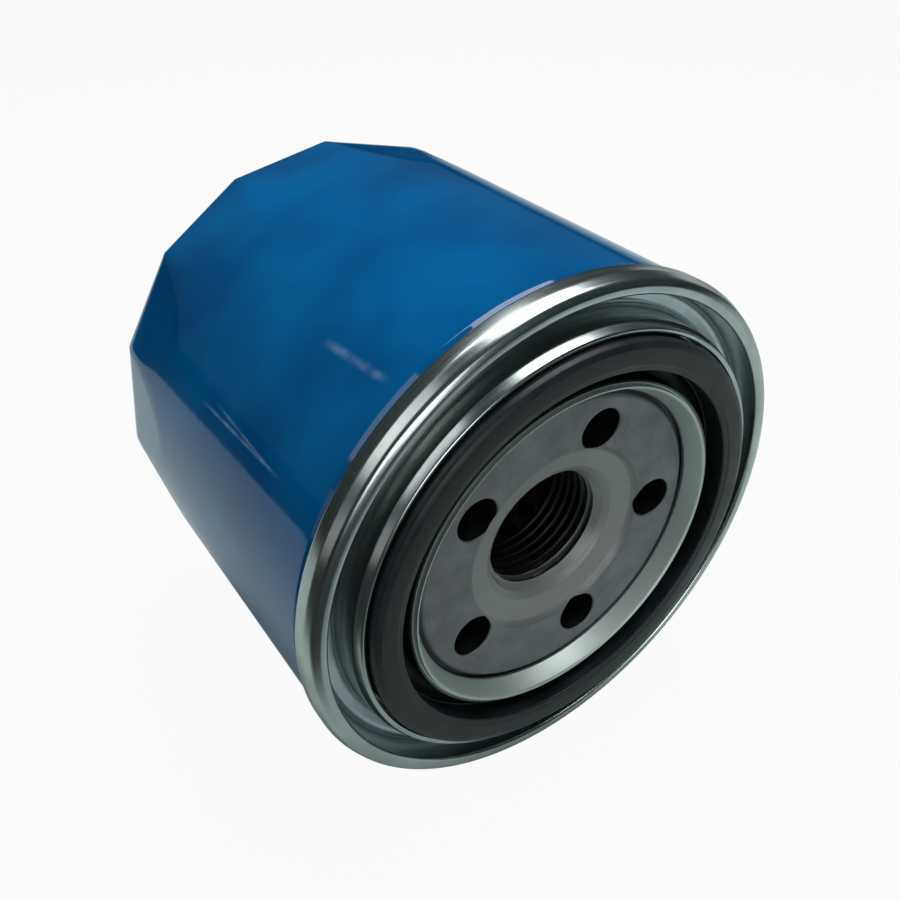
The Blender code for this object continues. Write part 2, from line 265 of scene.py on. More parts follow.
@dataclass(frozen=True)
class Enamel(Finish):
    """Gloss stoving enamel sprayed on a deep-drawn steel can.

    The clear top of the film gives sharp reflections on a saturated colour, broken by a faint
    orange peel and by the haze of handling.
    """

    color: str = "#005B93"
    deep: str = "#00497E"
    peel: float = 1.6  # width of an orange peel dimple, in mm
    cloud: float = 17.0  # width of a thicker patch of the film
    scuffs: tuple[Scuff, ...] = ()

    def scuffed(
        self,
        put: Put,
        mm: bpy.types.Node,
        color: bpy.types.NodeSocket,
        scuff: Scuff,
    ) -> bpy.types.NodeSocket:
        """Lays one streak over the colour: broken, thin, and paler than the film.

        Args:
            put: adds a node to the material.
            mm: the object coordinates in millimetres.
            color: the colour so far.
            streak: where the streak is.

        Returns:
            The colour with the scuff.
        """
        parts = put("ShaderNodeSeparateXYZ", {"Vector": mm})
        angle = reckon(put, "ARCTAN2", parts.outputs["Z"], parts.outputs["X"])
        middle = (scuff.start + scuff.end) / 2
        along = reckon(put, "SUBTRACT", parts.outputs["Y"], middle)
        line = reckon(put, "MULTIPLY_ADD", along, math.radians(scuff.lean), math.radians(scuff.angle))
        aside = reckon(put, "ABSOLUTE", reckon(put, "SUBTRACT", angle, line))
        thin = ranged(put, aside, math.radians(scuff.width), 0.0)
        off = reckon(put, "ABSOLUTE", along)
        reach = (scuff.end - scuff.start) / 2
        short = ranged(put, off, reach, 0.6 * reach)
        broken = noise(put, mm, 0.55, 2.0)
        worn = ranged(put, broken, 0.25, 0.75, to_high=scuff.strength)
        mark = reckon(put, "MULTIPLY", thin, short)
        factor = reckon(put, "MULTIPLY", mark, worn)
        return mixed_color(put, factor, color, linear("#9FC0D4"))

    def build(self) -> bpy.types.Material:
        """Makes the material."""
        material, put, shader, mm = self.start()
        cloud = noise(put, mm, 1 / self.cloud, 2.0, 0.5)
        spread = ranged(put, cloud, 0.35, 0.65)
        color = mixed_color(put, spread, linear(self.deep), linear(self.color))
        for scuff in self.scuffs:
            color = self.scuffed(put, mm, color, scuff)
        haze = noise(put, mm, 0.11, 5.0, 0.62)
        coat = ranged(put, haze, 0.4, 0.75, 0.045, 0.12)
        peel = noise(put, mm, 1 / self.peel, 1.0)
        bump = put("ShaderNodeBump", {"Height": peel, "Distance": 0.000006, "Strength": 1.0})
        film = {"Base Color": color, "Roughness": 0.42, "Specular IOR Level": 0.0}
        top = {"Coat Weight": 1.0, "Coat IOR": 1.5, "Coat Roughness": coat, "Coat Normal": bump}
        feed(material.node_tree, shader, film | top)
        return material


@dataclass(frozen=True)
class SheetMetal(Finish):
    """Pressed, turned or drawn metal: cloudy colour, fine grain and marks that run round.

    Sizes are in millimetres, and heights in micrometres.
    """

    color: str = "#B4B8B6"
    cloud_color: str = "#9DA3A2"
    tint: str = ""
    roughness: tuple[float, float] = (0.22, 0.36)
    metallic: float = 1.0
    cloud: float = 9.0
    grain: float = 0.25
    grain_height: float = 2.0
    mark: float = 0.35
    mark_height: float = 3.0
    inner_color: str = ""
    inner_radius: float = 0.0
    inner_roughness: float = 0.0
    # Painted shade: a dark colour laid on walls along the axis and on one ring behind a depth, where little
    # light reaches.
    soot_color: str = ""
    soot_walls: bool = False
    soot_radii: tuple[float, float] = (0.0, 0.0)
    soot_depths: tuple[float, float] = (0.0, 0.0)

    def build(self) -> bpy.types.Material:
        """Makes the material."""
        material, put, shader, mm = self.start()
        cloud = noise(put, mm, 1 / self.cloud, 5.0, 0.58)
        spread = ranged(put, cloud, 0.36, 0.64)
        mixed = mixed_color(put, spread, linear(self.color), linear(self.cloud_color))
        around = round_the_axis(put, mm, 0.03)
        if self.tint:
            # The chromate film over zinc is thin enough to colour light, in patches along the press marks.
            patch = noise(put, around, 0.23, 2.0)
            film = ranged(put, patch, 0.45, 0.72, to_high=0.55)
            mixed = mixed_color(put, film, mixed, linear(self.tint))
        inside = None
        if self.inner_color:
            parts = put("ShaderNodeSeparateXYZ", {"Vector": around})
            ends = {"From Min": self.inner_radius + 0.8, "From Max": self.inner_radius - 0.4, "To Max": 0.85}
            values = {"Value": parts.outputs["X"], **ends}
            inside = put("ShaderNodeMapRange", values, interpolation_type="SMOOTHSTEP")
            mixed = mixed_color(put, inside, mixed, linear(self.inner_color))
        # Painted shade in recesses, bores and hole walls.
        if self.soot_color:
            mixed = self.sooted(put, mm, around, mixed)
        mark = noise(put, around, 1 / self.mark, 3.0, 0.6)
        grain = noise(put, mm, 1 / self.grain, 2.0)
        wear = reckon(put, "MULTIPLY", mark, cloud)
        gloss = ranged(put, wear, 0.15, 0.36, self.roughness[0], self.roughness[1])
        if self.inner_roughness:
            gloss = reckon(put, "MULTIPLY_ADD", inside, self.inner_roughness, gloss)
        lines = put("ShaderNodeBump", {"Height": mark, "Distance": self.mark_height * 1e-6})
        height = self.grain_height * 1e-6
        surface = put("ShaderNodeBump", {"Height": grain, "Distance": height, "Normal": lines})
        skin = {"Base Color": mixed, "Roughness": gloss, "Normal": surface, "Metallic": self.metallic}
        feed(material.node_tree, shader, skin)
        return material

    def sooted(
        self,
        put: Put,
        mm: bpy.types.Node,
        around: bpy.types.Node,
        mixed: bpy.types.NodeSocket,
    ) -> bpy.types.NodeSocket:
        """Paints shade into the colour where little light reaches: walls along the axis, and one ring behind a
        depth.

        Args:
            put: adds a node to the material.
            mm: the object coordinates in millimetres.
            around: the vector whose X is the radius.
            mixed: the colour so far.

        Returns:
            The darkened colour.
        """
        radius = put("ShaderNodeSeparateXYZ", {"Vector": around}).outputs["X"]
        depth = put("ShaderNodeSeparateXYZ", {"Vector": mm}).outputs["Y"]
        inner, outer = self.soot_radii
        outside = reckon(put, "GREATER_THAN", radius, inner)
        inside = reckon(put, "LESS_THAN", radius, outer)
        first, last = self.soot_depths
        deep = ranged(put, depth, first, last)
        ring = reckon(put, "MULTIPLY", outside, inside)
        dark = reckon(put, "MULTIPLY", deep, ring)
        if self.soot_walls:
            normal = put("ShaderNodeSeparateXYZ", {"Vector": put("ShaderNodeTexCoord", {}).outputs["Normal"]})
            facing = reckon(put, "ABSOLUTE", normal.outputs["Y"])
            wall = ranged(put, facing, 0.5, 0.15)
            dark = reckon(put, "MAXIMUM", wall, dark)
        return mixed_color(put, dark, mixed, linear(self.soot_color))


@dataclass(frozen=True)
class Moulded(Finish):
    """A moulded or poured polymer: bloom in soft patches, a fine skin texture, no metal."""

    color: str = "#15181A"
    bloom_color: str = "#24292C"
    roughness: tuple[float, float] = (0.34, 0.52)
    bloom: float = 6.0
    skin: float = 0.2
    skin_height: float = 5.0
    lines: float = 0.0
    specular: float = 0.5

    def build(self) -> bpy.types.Material:
        """Makes the material."""
        material, put, shader, mm = self.start()
        bloom = noise(put, mm, 1 / self.bloom, 4.0, 0.6)
        spread = ranged(put, bloom, 0.38, 0.68)
        mixed = mixed_color(put, spread, linear(self.color), linear(self.bloom_color))
        gloss = ranged(put, bloom, 0.35, 0.65, self.roughness[0], self.roughness[1])
        skin = noise(put, mm, 1 / self.skin, 2.0)
        surface = put("ShaderNodeBump", {"Height": skin, "Distance": self.skin_height * 1e-6})
        if self.lines:
            around = round_the_axis(put, mm, 0.02)
            mark = noise(put, around, 1.7, 3.0)
            height = self.lines * 1e-6
            surface = put("ShaderNodeBump", {"Height": mark, "Distance": height, "Normal": surface})
        values = {"Base Color": mixed, "Roughness": gloss, "Normal": surface}
        feed(material.node_tree, shader, values | {"Specular IOR Level": self.specular})
        return material


@dataclass(frozen=True)
class FilterPaper(Finish):
    """Resin-cured cellulose filter paper: matt, with fibres and a slight embossed ripple."""

    color: str = "#D9BE86"
    fibre_color: str = "#C6A565"

    def build(self) -> bpy.types.Material:
        """Makes the material."""
        material, put, shader, mm = self.start()
        # Real fibres are 0.03 mm thick; they are drawn four times as coarse so that they show.
        stretched = put("ShaderNodeMapping", {"Vector": mm, "Scale": (8.0, 1.6, 8.0)})
        values = {"Vector": stretched, "Scale": 1.0, "Detail": 4.0, "Distortion": 1.2}
        fibre = put("ShaderNodeTexNoise", values)
        mixed = mixed_color(put, fibre, linear(self.color), linear(self.fibre_color))
        values = {"Vector": mm, "Scale": 0.16, "Distortion": 0.4}
        ripple = put("ShaderNodeTexWave", values, bands_direction="Y")
        emboss = put("ShaderNodeBump", {"Height": ripple, "Distance": 0.00004})
        surface = put("ShaderNodeBump", {"Height": fibre, "Distance": 0.00003, "Normal": emboss})
        feed(material.node_tree, shader, {"Base Color": mixed, "Normal": surface, "Roughness": 0.88})
        return material


ENAMEL = Enamel(
    "gloss_enamel_blue",
    scuffs=(
        Scuff(152.6, 16.0, 40.0, 0.5, 0.06, 0.5),
        Scuff(151.6, 18.0, 36.0, 0.4, -0.05, 0.4),
        Scuff(127.0, 9.0, 23.0, 1.1, 0.12, 0.3),
    ),
)
# Bright zinc with a clear chromate film: silvery, slightly blue or pink where the film is thick.
ZINC = SheetMetal(
    "zinc_plate_clear_chromate",
    color="#B9C0BD",
    cloud_color="#9FA8A5",
    tint="#A8B4C8",
    roughness=(0.19, 0.27),
    mark=0.5,
    mark_height=1.0,
    grain_height=1.0,
    inner_color="#BFCAC6",
    inner_radius=27.0,
    inner_roughness=0.36,
    # Painted shade in the gasket groove, between the lip and the gasket.
    soot_color="#1A1E20",
    soot_radii=(25.8, 28.9),
    soot_depths=(1.7, 2.3),
)
# Hot-rolled, pickled and oiled steel: dull grey, blotchy, with a coined hub that is lighter.
PLATE_STEEL = SheetMetal(
    "pickled_oiled_steel",
    color="#75797B",
    cloud_color="#686C6F",
    roughness=(0.42, 0.55),
    metallic=0.55,
    cloud=4.5,
    grain=0.18,
    grain_height=6.0,
    mark=0.6,
    mark_height=2.0,
    inner_color="#8B908D",
    inner_radius=14.6,
    # Painted shade on walls along the axis, such as the inlet holes' walls, and deep in the threaded bore.
    soot_color="#161717",
    soot_walls=True,
    soot_radii=(0.0, 10.3),
    soot_depths=(7.6, 10.5),
)
# Tinplate, the bright steel that element caps and tubes are pressed from.
TINPLATE = SheetMetal("tinplate", color="#C4C2BB", cloud_color="#B0AEA7", roughness=(0.24, 0.4), cloud=6.0)
# Oil-tempered spring wire: dark drawn surface with a brown cast.
SPRING_WIRE = SheetMetal(
    "oil_tempered_spring_wire",
    color="#7C7670",
    cloud_color="#5E5955",
    roughness=(0.28, 0.45),
    cloud=3.0,
    mark=0.2,
)
# Nitrile rubber, compression moulded: soft sheen, a little bloom, tool marks that run round.
NITRILE = Moulded("nitrile_rubber_black", color="#0E1316", bloom_color="#192125", lines=14.0, specular=0.38)
# Plastisol, poured and cured in the end caps: tan, slightly glossy, uneven.
PLASTISOL = Moulded(
    "cured_plastisol_tan",
    color="#B08A55",
    bloom_color="#9B7644",
    roughness=(0.3, 0.45),
    bloom=4.0,
    skin=1.4,
    skin_height=60.0,
)
# Glass-filled nylon, injection moulded: matt black with a fine grain.
NYLON = Moulded(
    "glass_filled_nylon_black",
    color="#1B1B1C",
    bloom_color="#29292A",
    roughness=(0.4, 0.55),
    bloom=2.0,
    skin=0.12,
    skin_height=4.0,
)
# Solvent-based seaming compound, sprayed in the seam: dark rubbery grey.
COMPOUND = Moulded(
    "seaming_compound_grey",
    color="#2C3032",
    bloom_color="#3A3F41",
    roughness=(0.5, 0.7),
    bloom=1.5,
    skin=0.5,
    skin_height=25.0,
)
PAPER = FilterPaper("resin_cured_filter_paper")


# ---------------------------------------------------------------------------- meshes


def depths(node: str) -> tuple[float, float]:
    """Where a CAD node starts and ends along the axis, in millimetres."""
    low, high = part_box(node)
    return low.y / MM, high.y / MM


def rounded(corners: Sequence[Corner], closed: bool = True, step: float = 11.0) -> list[Point]:
    """Rounds the corners of a section, as bending or moulding does.

    Args:
        corners: (radius, depth, radius of the rounding) of each corner.
        closed: whether the section ends where it began.
        step: the largest turn between two points of a rounding, in degrees.

    Returns:
        The section's points.
    """
    points: list[Point] = []
    count = len(corners)
    for index, (across, depth, fillet) in enumerate(corners):
        here = Vector((across, depth))
        if fillet == 0 or (not closed and index in (0, count - 1)):
            points.append((across, depth))
            continue
        before = Vector(corners[index - 1][:2]) - here
        after = Vector(corners[(index + 1) % count][:2]) - here
        half = before.angle(after) / 2
        reach = min(fillet / math.tan(half), 0.48 * before.length, 0.48 * after.length)
        radius = reach * math.tan(half)
        centre = here + (before.normalized() + after.normalized()).normalized() * (radius / math.sin(half))
        first = here + before.normalized() * reach - centre
        turn = math.pi - 2 * half
        steps = max(2, math.ceil(math.degrees(turn) / step))
        # Known fault: at a right angle this product is 0 but for rounding noise, so the arc can curl
        # inwards and the section crosses itself. The second tangent point would give a sure sign.
        side = 1.0 if first.x * after.y - first.y * after.x > 0 else -1.0
        for number in range(steps + 1):
            angle = side * turn * number / steps
            cos, sin = math.cos(angle), math.sin(angle)
            across = centre.x + first.x * cos - first.y * sin
            points.append((across, centre.y + first.x * sin + first.y * cos))
    return points


def divided(points: Sequence[Point], longest: float) -> list[Point]:
    """Splits the long lines of an open section, so that a shape can bend along them."""
    result = [points[0]]
    for start, end in zip(points, points[1:]):
        pieces = max(1, math.ceil(math.dist(start, end) / longest))
        for number in range(1, pieces + 1):
            share = number / pieces
            result.append((start[0] + (end[0] - start[0]) * share, start[1] + (end[1] - start[1]) * share))
    return result


def turned(points: Sequence[Point], sides: int = FINE_SIDES, closed: bool = True) -> bpy.types.Mesh:
    """Turns a section round the axis.

    Args:
        points: the section, as (radius, depth).
        sides: how many sides the turned shape has.
        closed: whether the section's last point joins its first.

    Returns:
        The mesh, in millimetres, facing outwards.
    """
    verts: list[tuple[float, float, float]] = []
    rings: list[list[int]] = []
    for radius, depth in points:
        count = 1 if radius < 1e-6 else sides
        rings.append([len(verts) + side for side in range(count)])
        for side in range(count):
            angle = math.tau * side / sides
            verts.append((radius * math.cos(angle), depth, radius * math.sin(angle)))
    pairs = list(zip(rings, rings[1:]))
    if closed and len(rings[0]) > 1:
        pairs.append((rings[-1], rings[0]))
    faces = []
    for one, two in pairs:
        if len(one) == len(two) == 1:
            continue
        for side in range(sides):
            after = (side + 1) % sides
            if len(one) == 1:
                faces.append((one[0], two[after], two[side]))
            elif len(two) == 1:
                faces.append((one[side], one[after], two[0]))
            else:
                faces.append((one[side], one[after], two[after], two[side]))
    mesh = bpy.data.meshes.new("turned")
    mesh.from_pydata(verts, [], faces)
    return outward(mesh)


def outward(mesh: bpy.types.Mesh) -> bpy.types.Mesh:
    """Merges a mesh's doubles and turns its faces outwards."""
    bm = bmesh.new()
    bm.from_mesh(mesh)
    bmesh.ops.remove_doubles(bm, verts=bm.verts, dist=1e-4)
    bmesh.ops.recalc_face_normals(bm, faces=bm.faces)
    if bm.calc_volume(signed=True) < 0:
        bmesh.ops.reverse_faces(bm, faces=bm.faces)
    bm.to_mesh(mesh)
    bm.free()
    return mesh


def extruded(points: Sequence[Point], start: float, end: float) -> bpy.types.Mesh:
    """A bar along the axis from a section in (x, z)."""
    count = len(points)
    verts = [(x, depth, z) for depth in (start, end) for x, z in points]
    faces = [tuple(range(count)), tuple(range(2 * count - 1, count - 1, -1))]
    for index in range(count):
        after = (index + 1) % count
        faces.append((index, after, count + after, count + index))
    mesh = bpy.data.meshes.new("bar")
    mesh.from_pydata(verts, [], faces)
    return outward(mesh)


def dressed(name: str, mesh: bpy.types.Mesh, finish: Finish) -> bpy.types.Object:
    """Turns a mesh in millimetres into a named object in its finish.

    Args:
        name: the object's name.
        mesh: its mesh, in millimetres.
        finish: its finish.

    Returns:
        The object, in metres.
    """
    mesh.transform(Matrix.Scale(MM, 4))
    mesh.materials.clear()
    mesh.materials.append(material_of(finish))
    mesh.polygons.foreach_set("material_index", [0] * len(mesh.polygons))
    mesh.shade_smooth()
    mesh.set_sharp_from_angle(angle=SHARP_EDGE)
    mesh.name = name
    obj = bpy.data.objects.new(name, mesh)
    bpy.context.scene.collection.objects.link(obj)
    return obj


def piece(
    name: str, mesh: bpy.types.Mesh, finish: Finish, body: Body, slot: Slot, node: str
) -> bpy.types.Object:
    """Finishes a mesh in millimetres as a named piece that rides on its body.

    Args:
        name: the piece's name.
        mesh: its mesh, in millimetres.
        finish: its finish.
        body: the CAD body that it moves with.
        slot: the record's material slot; not used.
        node: the CAD node that it stands for.

    Returns:
        The piece.
    """
    obj = dressed(name, mesh, finish)
    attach(obj, body.value)
    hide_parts(node)
    log.info("%s: %d faces, for %s on %s", name, len(mesh.polygons), node, body.value)
    return obj


def turned_piece(
    name: str,
    section: Sequence[Point],
    finish: Finish,
    body: Body,
    slot: Slot,
    node: str,
    sides: int = FINE_SIDES,
) -> None:
    """Makes a piece by turning a section round the axis. See piece() for the other arguments."""
    piece(name, turned(section, sides), finish, body, slot, node)


class Shaper:
    """A Geometry Nodes tree with named inputs, and the mesh that it grows."""

    def __init__(self, name: str, sizes: dict[str, Any]) -> None:
        """Starts the tree.

        Args:
            name: the tree's name.
            sizes: each input's name and value.
        """
        self.sizes = sizes
        self.tree = bpy.data.node_groups.new(name, "GeometryNodeTree")
        self.tree.interface.new_socket("Geometry", in_out="INPUT", socket_type="NodeSocketGeometry")
        kinds = {bool: "NodeSocketBool", int: "NodeSocketInt", float: "NodeSocketFloat"}
        for label, value in sizes.items():
            kind = kinds.get(type(value), "NodeSocketObject")
            self.tree.interface.new_socket(label, in_out="INPUT", socket_type=kind)
        self.tree.interface.new_socket("Material", in_out="INPUT", socket_type="NodeSocketMaterial")
        self.tree.interface.new_socket("Geometry", in_out="OUTPUT", socket_type="NodeSocketGeometry")
        self.put = functools.partial(add_node, self.tree)
        self.entry = self.put("NodeGroupInput", {})

    def size(self, name: str) -> bpy.types.NodeSocket:
        """The tree's own input of that name."""
        return self.entry.outputs[name]

    def sum(self, operation: str, *terms: Any, **settings: Any) -> bpy.types.Node:
        """A step of the tree's arithmetic."""
        return reckon(self.put, operation, *terms, **settings)

    def cylindrical(self) -> tuple[bpy.types.NodeSocket, ...]:
        """Each point's x, y and z, then its radius and its angle round the axis."""
        x, y, z = self.put("ShaderNodeSeparateXYZ", {0: self.put("GeometryNodeInputPosition", {})}).outputs
        squares = self.sum("ADD", self.sum("MULTIPLY", x, x), self.sum("MULTIPLY", z, z))
        return x, y, z, self.sum("SQRT", squares), self.sum("ARCTAN2", z, x)

    def stretched(self, x: Any, y: Any, z: Any, radius: Any, reach: Any) -> bpy.types.Node:
        """The point moved out from the axis until its radius is the reach."""
        scale = self.sum("DIVIDE", reach, self.sum("MAXIMUM", radius, 0.001))
        place = {"X": self.sum("MULTIPLY", x, scale), "Y": y, "Z": self.sum("MULTIPLY", z, scale)}
        return self.put("ShaderNodeCombineXYZ", place)

    def on_ring(self, radius: Any, angle: Any, depth: Any) -> bpy.types.Node:
        """The point at a radius, an angle and a depth."""
        across = self.sum("MULTIPLY", radius, self.sum("COSINE", angle))
        up = self.sum("MULTIPLY", radius, self.sum("SINE", angle))
        return self.put("ShaderNodeCombineXYZ", {"X": across, "Y": depth, "Z": up})

    def grow(
        self, geometry: Any, finish: Finish, base: bpy.types.Mesh | None = None, wall: float = 0.0
    ) -> bpy.types.Mesh:
        """Ends the tree, runs it and returns what it makes as a plain mesh.

        Args:
            geometry: the tree's last geometry node.
            finish: the finish that Set Material gives.
            base: the mesh that the tree starts from, if it has one.
            wall: the thickness that its sheet gets, or 0.

        Returns:
            The mesh, in millimetres, facing outwards.
        """
        real = self.put("GeometryNodeRealizeInstances", {"Geometry": geometry})
        painted = self.put("GeometryNodeSetMaterial", {"Geometry": real, "Material": self.size("Material")})
        self.put("NodeGroupOutput", {0: painted})
        host = bpy.data.objects.new(self.tree.name, base or bpy.data.meshes.new(self.tree.name))
        bpy.context.scene.collection.objects.link(host)
        modifier = host.modifiers.new("Shape", "NODES")
        modifier.node_group = self.tree
        values = {**self.sizes, "Material": material_of(finish)}
        for item in self.tree.interface.items_tree:
            if item.in_out == "INPUT" and item.name in values:
                modifier[item.identifier] = values[item.name]
        result = self.plain(host)
        if wall:
            sheet = bpy.data.objects.new(f"{self.tree.name}_sheet", outward(result))
            bpy.context.scene.collection.objects.link(sheet)
            thick = sheet.modifiers.new("Wall", "SOLIDIFY")
            thick.thickness, thick.offset, thick.use_even_offset = wall, 0.0, True
            result = self.plain(sheet)
        return outward(result)

    @staticmethod
    def plain(host: bpy.types.Object) -> bpy.types.Mesh:
        """The evaluated mesh of a helper object, which is then removed."""
        graph = bpy.context.evaluated_depsgraph_get()
        mesh = bpy.data.meshes.new_from_object(host.evaluated_get(graph))
        bpy.data.objects.remove(host)
        return mesh


def helper(name: str, mesh: bpy.types.Mesh) -> bpy.types.Object:
    """An object that only a tree uses, such as a punch. It is removed after use."""
    obj = bpy.data.objects.new(name, mesh)
    bpy.context.scene.collection.objects.link(obj)
    return obj


def punched(
    blank: bpy.types.Mesh,
    punch: bpy.types.Mesh,
    count: int,
    first: float,
    finish: Finish,
    solver: str = "EXACT",
) -> bpy.types.Mesh:
    """Punches the same hole at even steps round the axis.

    Args:
        blank: the mesh to pierce, closed, in millimetres.
        punch: the punch, already at its place for angle 0.
        count: how many holes there are.
        first: the angle of the first hole, in degrees.
        finish: the finish of the result.
        solver: the boolean's solver. EXACT gives an empty mesh for a punch that crosses itself.

    Returns:
        The pierced mesh.
    """
    tool = helper("punch", punch)
    work = Shaper("PunchedHoles", {"Count": count, "First Angle": math.radians(first), "Punch": tool})
    points = work.put("GeometryNodeMeshLine", {"Count": work.size("Count"), "Offset": (0.0, 0.0, 0.0)})
    share = work.sum("DIVIDE", math.tau, work.size("Count"))
    turn = work.sum("MULTIPLY_ADD", work.put("GeometryNodeInputIndex", {}), share, work.size("First Angle"))
    angle = work.sum("MULTIPLY", turn, -1.0)
    rotation = work.put("ShaderNodeCombineXYZ", {"Y": angle})
    shape = work.put("GeometryNodeObjectInfo", {"Object": work.size("Punch")})
    copies = work.put(
        "GeometryNodeInstanceOnPoints",
        {"Points": points, "Instance": shape.outputs["Geometry"], "Rotation": rotation},
    )
    tools = work.put("GeometryNodeRealizeInstances", {"Geometry": copies})
    cut = work.put(
        "GeometryNodeMeshBoolean",
        {"Mesh 1": work.size("Geometry"), "Mesh 2": tools},
        operation="DIFFERENCE",
        solver=solver,
    )
    result = work.grow(cut, finish, blank)
    bpy.data.objects.remove(tool)
    return result


# ---------------------------------------------------------------------------- sub-assemblies


@dataclass
class Can:
    """The deep-drawn, enamelled can with flats for a cap wrench pressed into its closed end."""

    radius: float = 39.45
    neck: float = 0.25
    neck_end: float = 6.7
    wall: float = 0.5
    shoulder: float = 7.0
    crown: float = 1.3
    flats: int = 15
    corner_angle: float = 16.5
    flats_start: float = 51.7
    flats_end: float = 67.0
    inset: float = 1.15
    soften: float = 0.12
    sides: int = 240

    def outline(self, radius: float, start: float, end: float) -> list[Point]:
        """Half of the can's section from its mouth to the middle of its closed end."""
        shoulder = self.shoulder - (self.radius - radius)
        corners = [
            (radius - self.neck, start, 0.0),
            (radius - self.neck, self.neck_end, 0.4),
            (radius, self.neck_end + 0.6, 0.4),
            (radius, end - self.crown, shoulder),
            (radius * 0.45, end - 0.3 * self.crown, 30.0),
            (0.0, end, 0.0),
        ]
        return rounded(corners, closed=False, step=6.0)

    def build(self) -> None:
        """Builds and dresses the can."""
        start, end = depths("can")
        outside = divided(self.outline(self.radius, start, end), 1.1)
        inside = divided(self.outline(self.radius - self.wall, start, end - self.wall), 2.2)
        shell = turned(outside + inside[::-1], self.sides, closed=False)
        shell = self.closed_mouth(shell, start)
        piece("can_fluted", self.press(shell), ENAMEL, Body.HOUSING, Slot.BLUE_PAINT, "can")

    @staticmethod
    def closed_mouth(mesh: bpy.types.Mesh, start: float) -> bpy.types.Mesh:
        """Joins the can's two walls at its mouth."""
        bm = bmesh.new()
        bm.from_mesh(mesh)
        rim = [edge for edge in bm.edges if edge.is_boundary and abs(edge.verts[0].co.y - start) < 1e-3]
        bmesh.ops.bridge_loops(bm, edges=rim)
        bm.to_mesh(mesh)
        bm.free()
        return outward(mesh)

    def press(self, shell: bpy.types.Mesh) -> bpy.types.Mesh:
        """Presses the flats: each is a plane that no point of the wall may lie outside."""
        work = Shaper(
            "PressedFlats",
            {
                "Flats": self.flats,
                "Corner Angle": math.radians(self.corner_angle),
                "Start": self.flats_start,
                "End": self.flats_end,
                "Inset": self.inset,
                "Can Radius": self.radius,
                "Soften": self.soften,
            },
        )
        put, size, step = work.put, work.size, work.sum
        x, y, z, radius, angle = work.cylindrical()
        share = ranged(put, y, size("Start"), size("End"))
        reach_in = step("POWER", step("DIVIDE", radius, size("Can Radius")), 3.0)
        inset = step("MULTIPLY", step("MULTIPLY", share, size("Inset")), step("MINIMUM", reach_in, 1.0))
        half = step("DIVIDE", math.pi, size("Flats"))
        from_corner = step("SUBTRACT", angle, size("Corner Angle"))
        turn = step("FLOORED_MODULO", from_corner, step("MULTIPLY", half, 2.0))
        off_middle = step("SUBTRACT", turn, half)
        plane = step("DIVIDE", step("SUBTRACT", radius, inset), step("COSINE", off_middle))
        spare = step("SUBTRACT", 1.0, step("MINIMUM", step("MULTIPLY", share, 12.0), 1.0))
        clear = step("MULTIPLY_ADD", spare, size("Soften"), plane)
        reach = step("SMOOTH_MIN", radius, clear, size("Soften"))
        moved = work.stretched(x, y, z, radius, reach)
        pressed = put("GeometryNodeSetPosition", {"Geometry": size("Geometry"), "Position": moved})
        return work.grow(pressed, ENAMEL, shell)


@dataclass
class Lid:
    """The pressed, zinc-plated lid: rolled seam, recess, gasket groove and lip, and the seam's compound."""

    seam_radius: float = 40.0
    seam_depth: float = 2.2
    seam_end: float = 6.2
    recess: float = 7.2
    ridge: float = 33.5
    ridge_depth: float = 1.2
    groove_outer: float = 32.8
    groove_inner: float = 26.1
    groove_floor: float = 4.4
    lip_radius: float = 23.9
    lip_depth: float = 4.1
    lip_top: float = 1.3
    sheet: float = 0.6

    def section(self) -> list[Point]:
        """The lid's section, its front first and then its back."""
        front = [
            (39.42, self.seam_end, 0.1),
            (self.seam_radius, self.seam_end - 0.2, 0.5),
            (self.seam_radius, self.seam_depth + 1.7, 1.2),
            (self.seam_radius - 0.55, self.seam_depth + 0.35, 1.0),
            (self.seam_radius - 1.5, self.seam_depth, 0.6),
            (37.35, self.seam_depth, 0.85),
            (37.15, self.recess, 1.1),
            (34.35, self.recess, 1.0),
            (self.ridge + 0.6, self.ridge_depth + 1.3, 0.9),
            (self.ridge - 0.05, self.ridge_depth, 0.7),
            (self.groove_outer, self.ridge_depth + 0.2, 0.25),
            (self.groove_outer, self.groove_floor, 0.15),
            (self.groove_inner, self.groove_floor, 0.15),
            (self.groove_inner, self.lip_top - 0.04, 0.42),
            (self.groove_inner - 0.9, self.lip_top + 0.1, 0.6),
            (self.lip_radius, self.lip_depth - 0.1, 0.3),
        ]
        back = [
            (self.lip_radius + 0.15, self.lip_depth + 0.55, 0.1),
            (self.lip_radius + 0.75, self.lip_depth + 0.4, 0.2),
            (self.groove_inner - 0.7, self.lip_top + 2 * self.sheet, 0.3),
            (self.groove_inner - self.sheet, self.groove_floor + self.sheet, 0.6),
            (33.7, self.groove_floor + self.sheet, 0.6),
            (33.95, self.recess + self.sheet, 0.8),
            (37.8, self.recess + self.sheet, 0.8),
            (38.05, self.seam_depth + 0.7, 0.2),
            (39.42, self.seam_depth + 0.7, 0.2),
        ]
        return rounded(front + back)

    def build(self) -> None:
        """Builds and dresses the lid and the compound in its seam."""
        turned_piece("seaming_lid_zinc", self.section(), ZINC, Body.HOUSING, Slot.ZINC, "seaming_lid", RIM_SIDES)
        start, end = depths("seam_compound")
        bead = rounded([(38.4, start, 0.15), (39.1, start, 0.15), (39.1, end, 0.15), (38.4, end, 0.15)])
        turned_piece("seam_compound_bead", bead, COMPOUND, Body.HOUSING, Slot.RUBBER, "seam_compound")


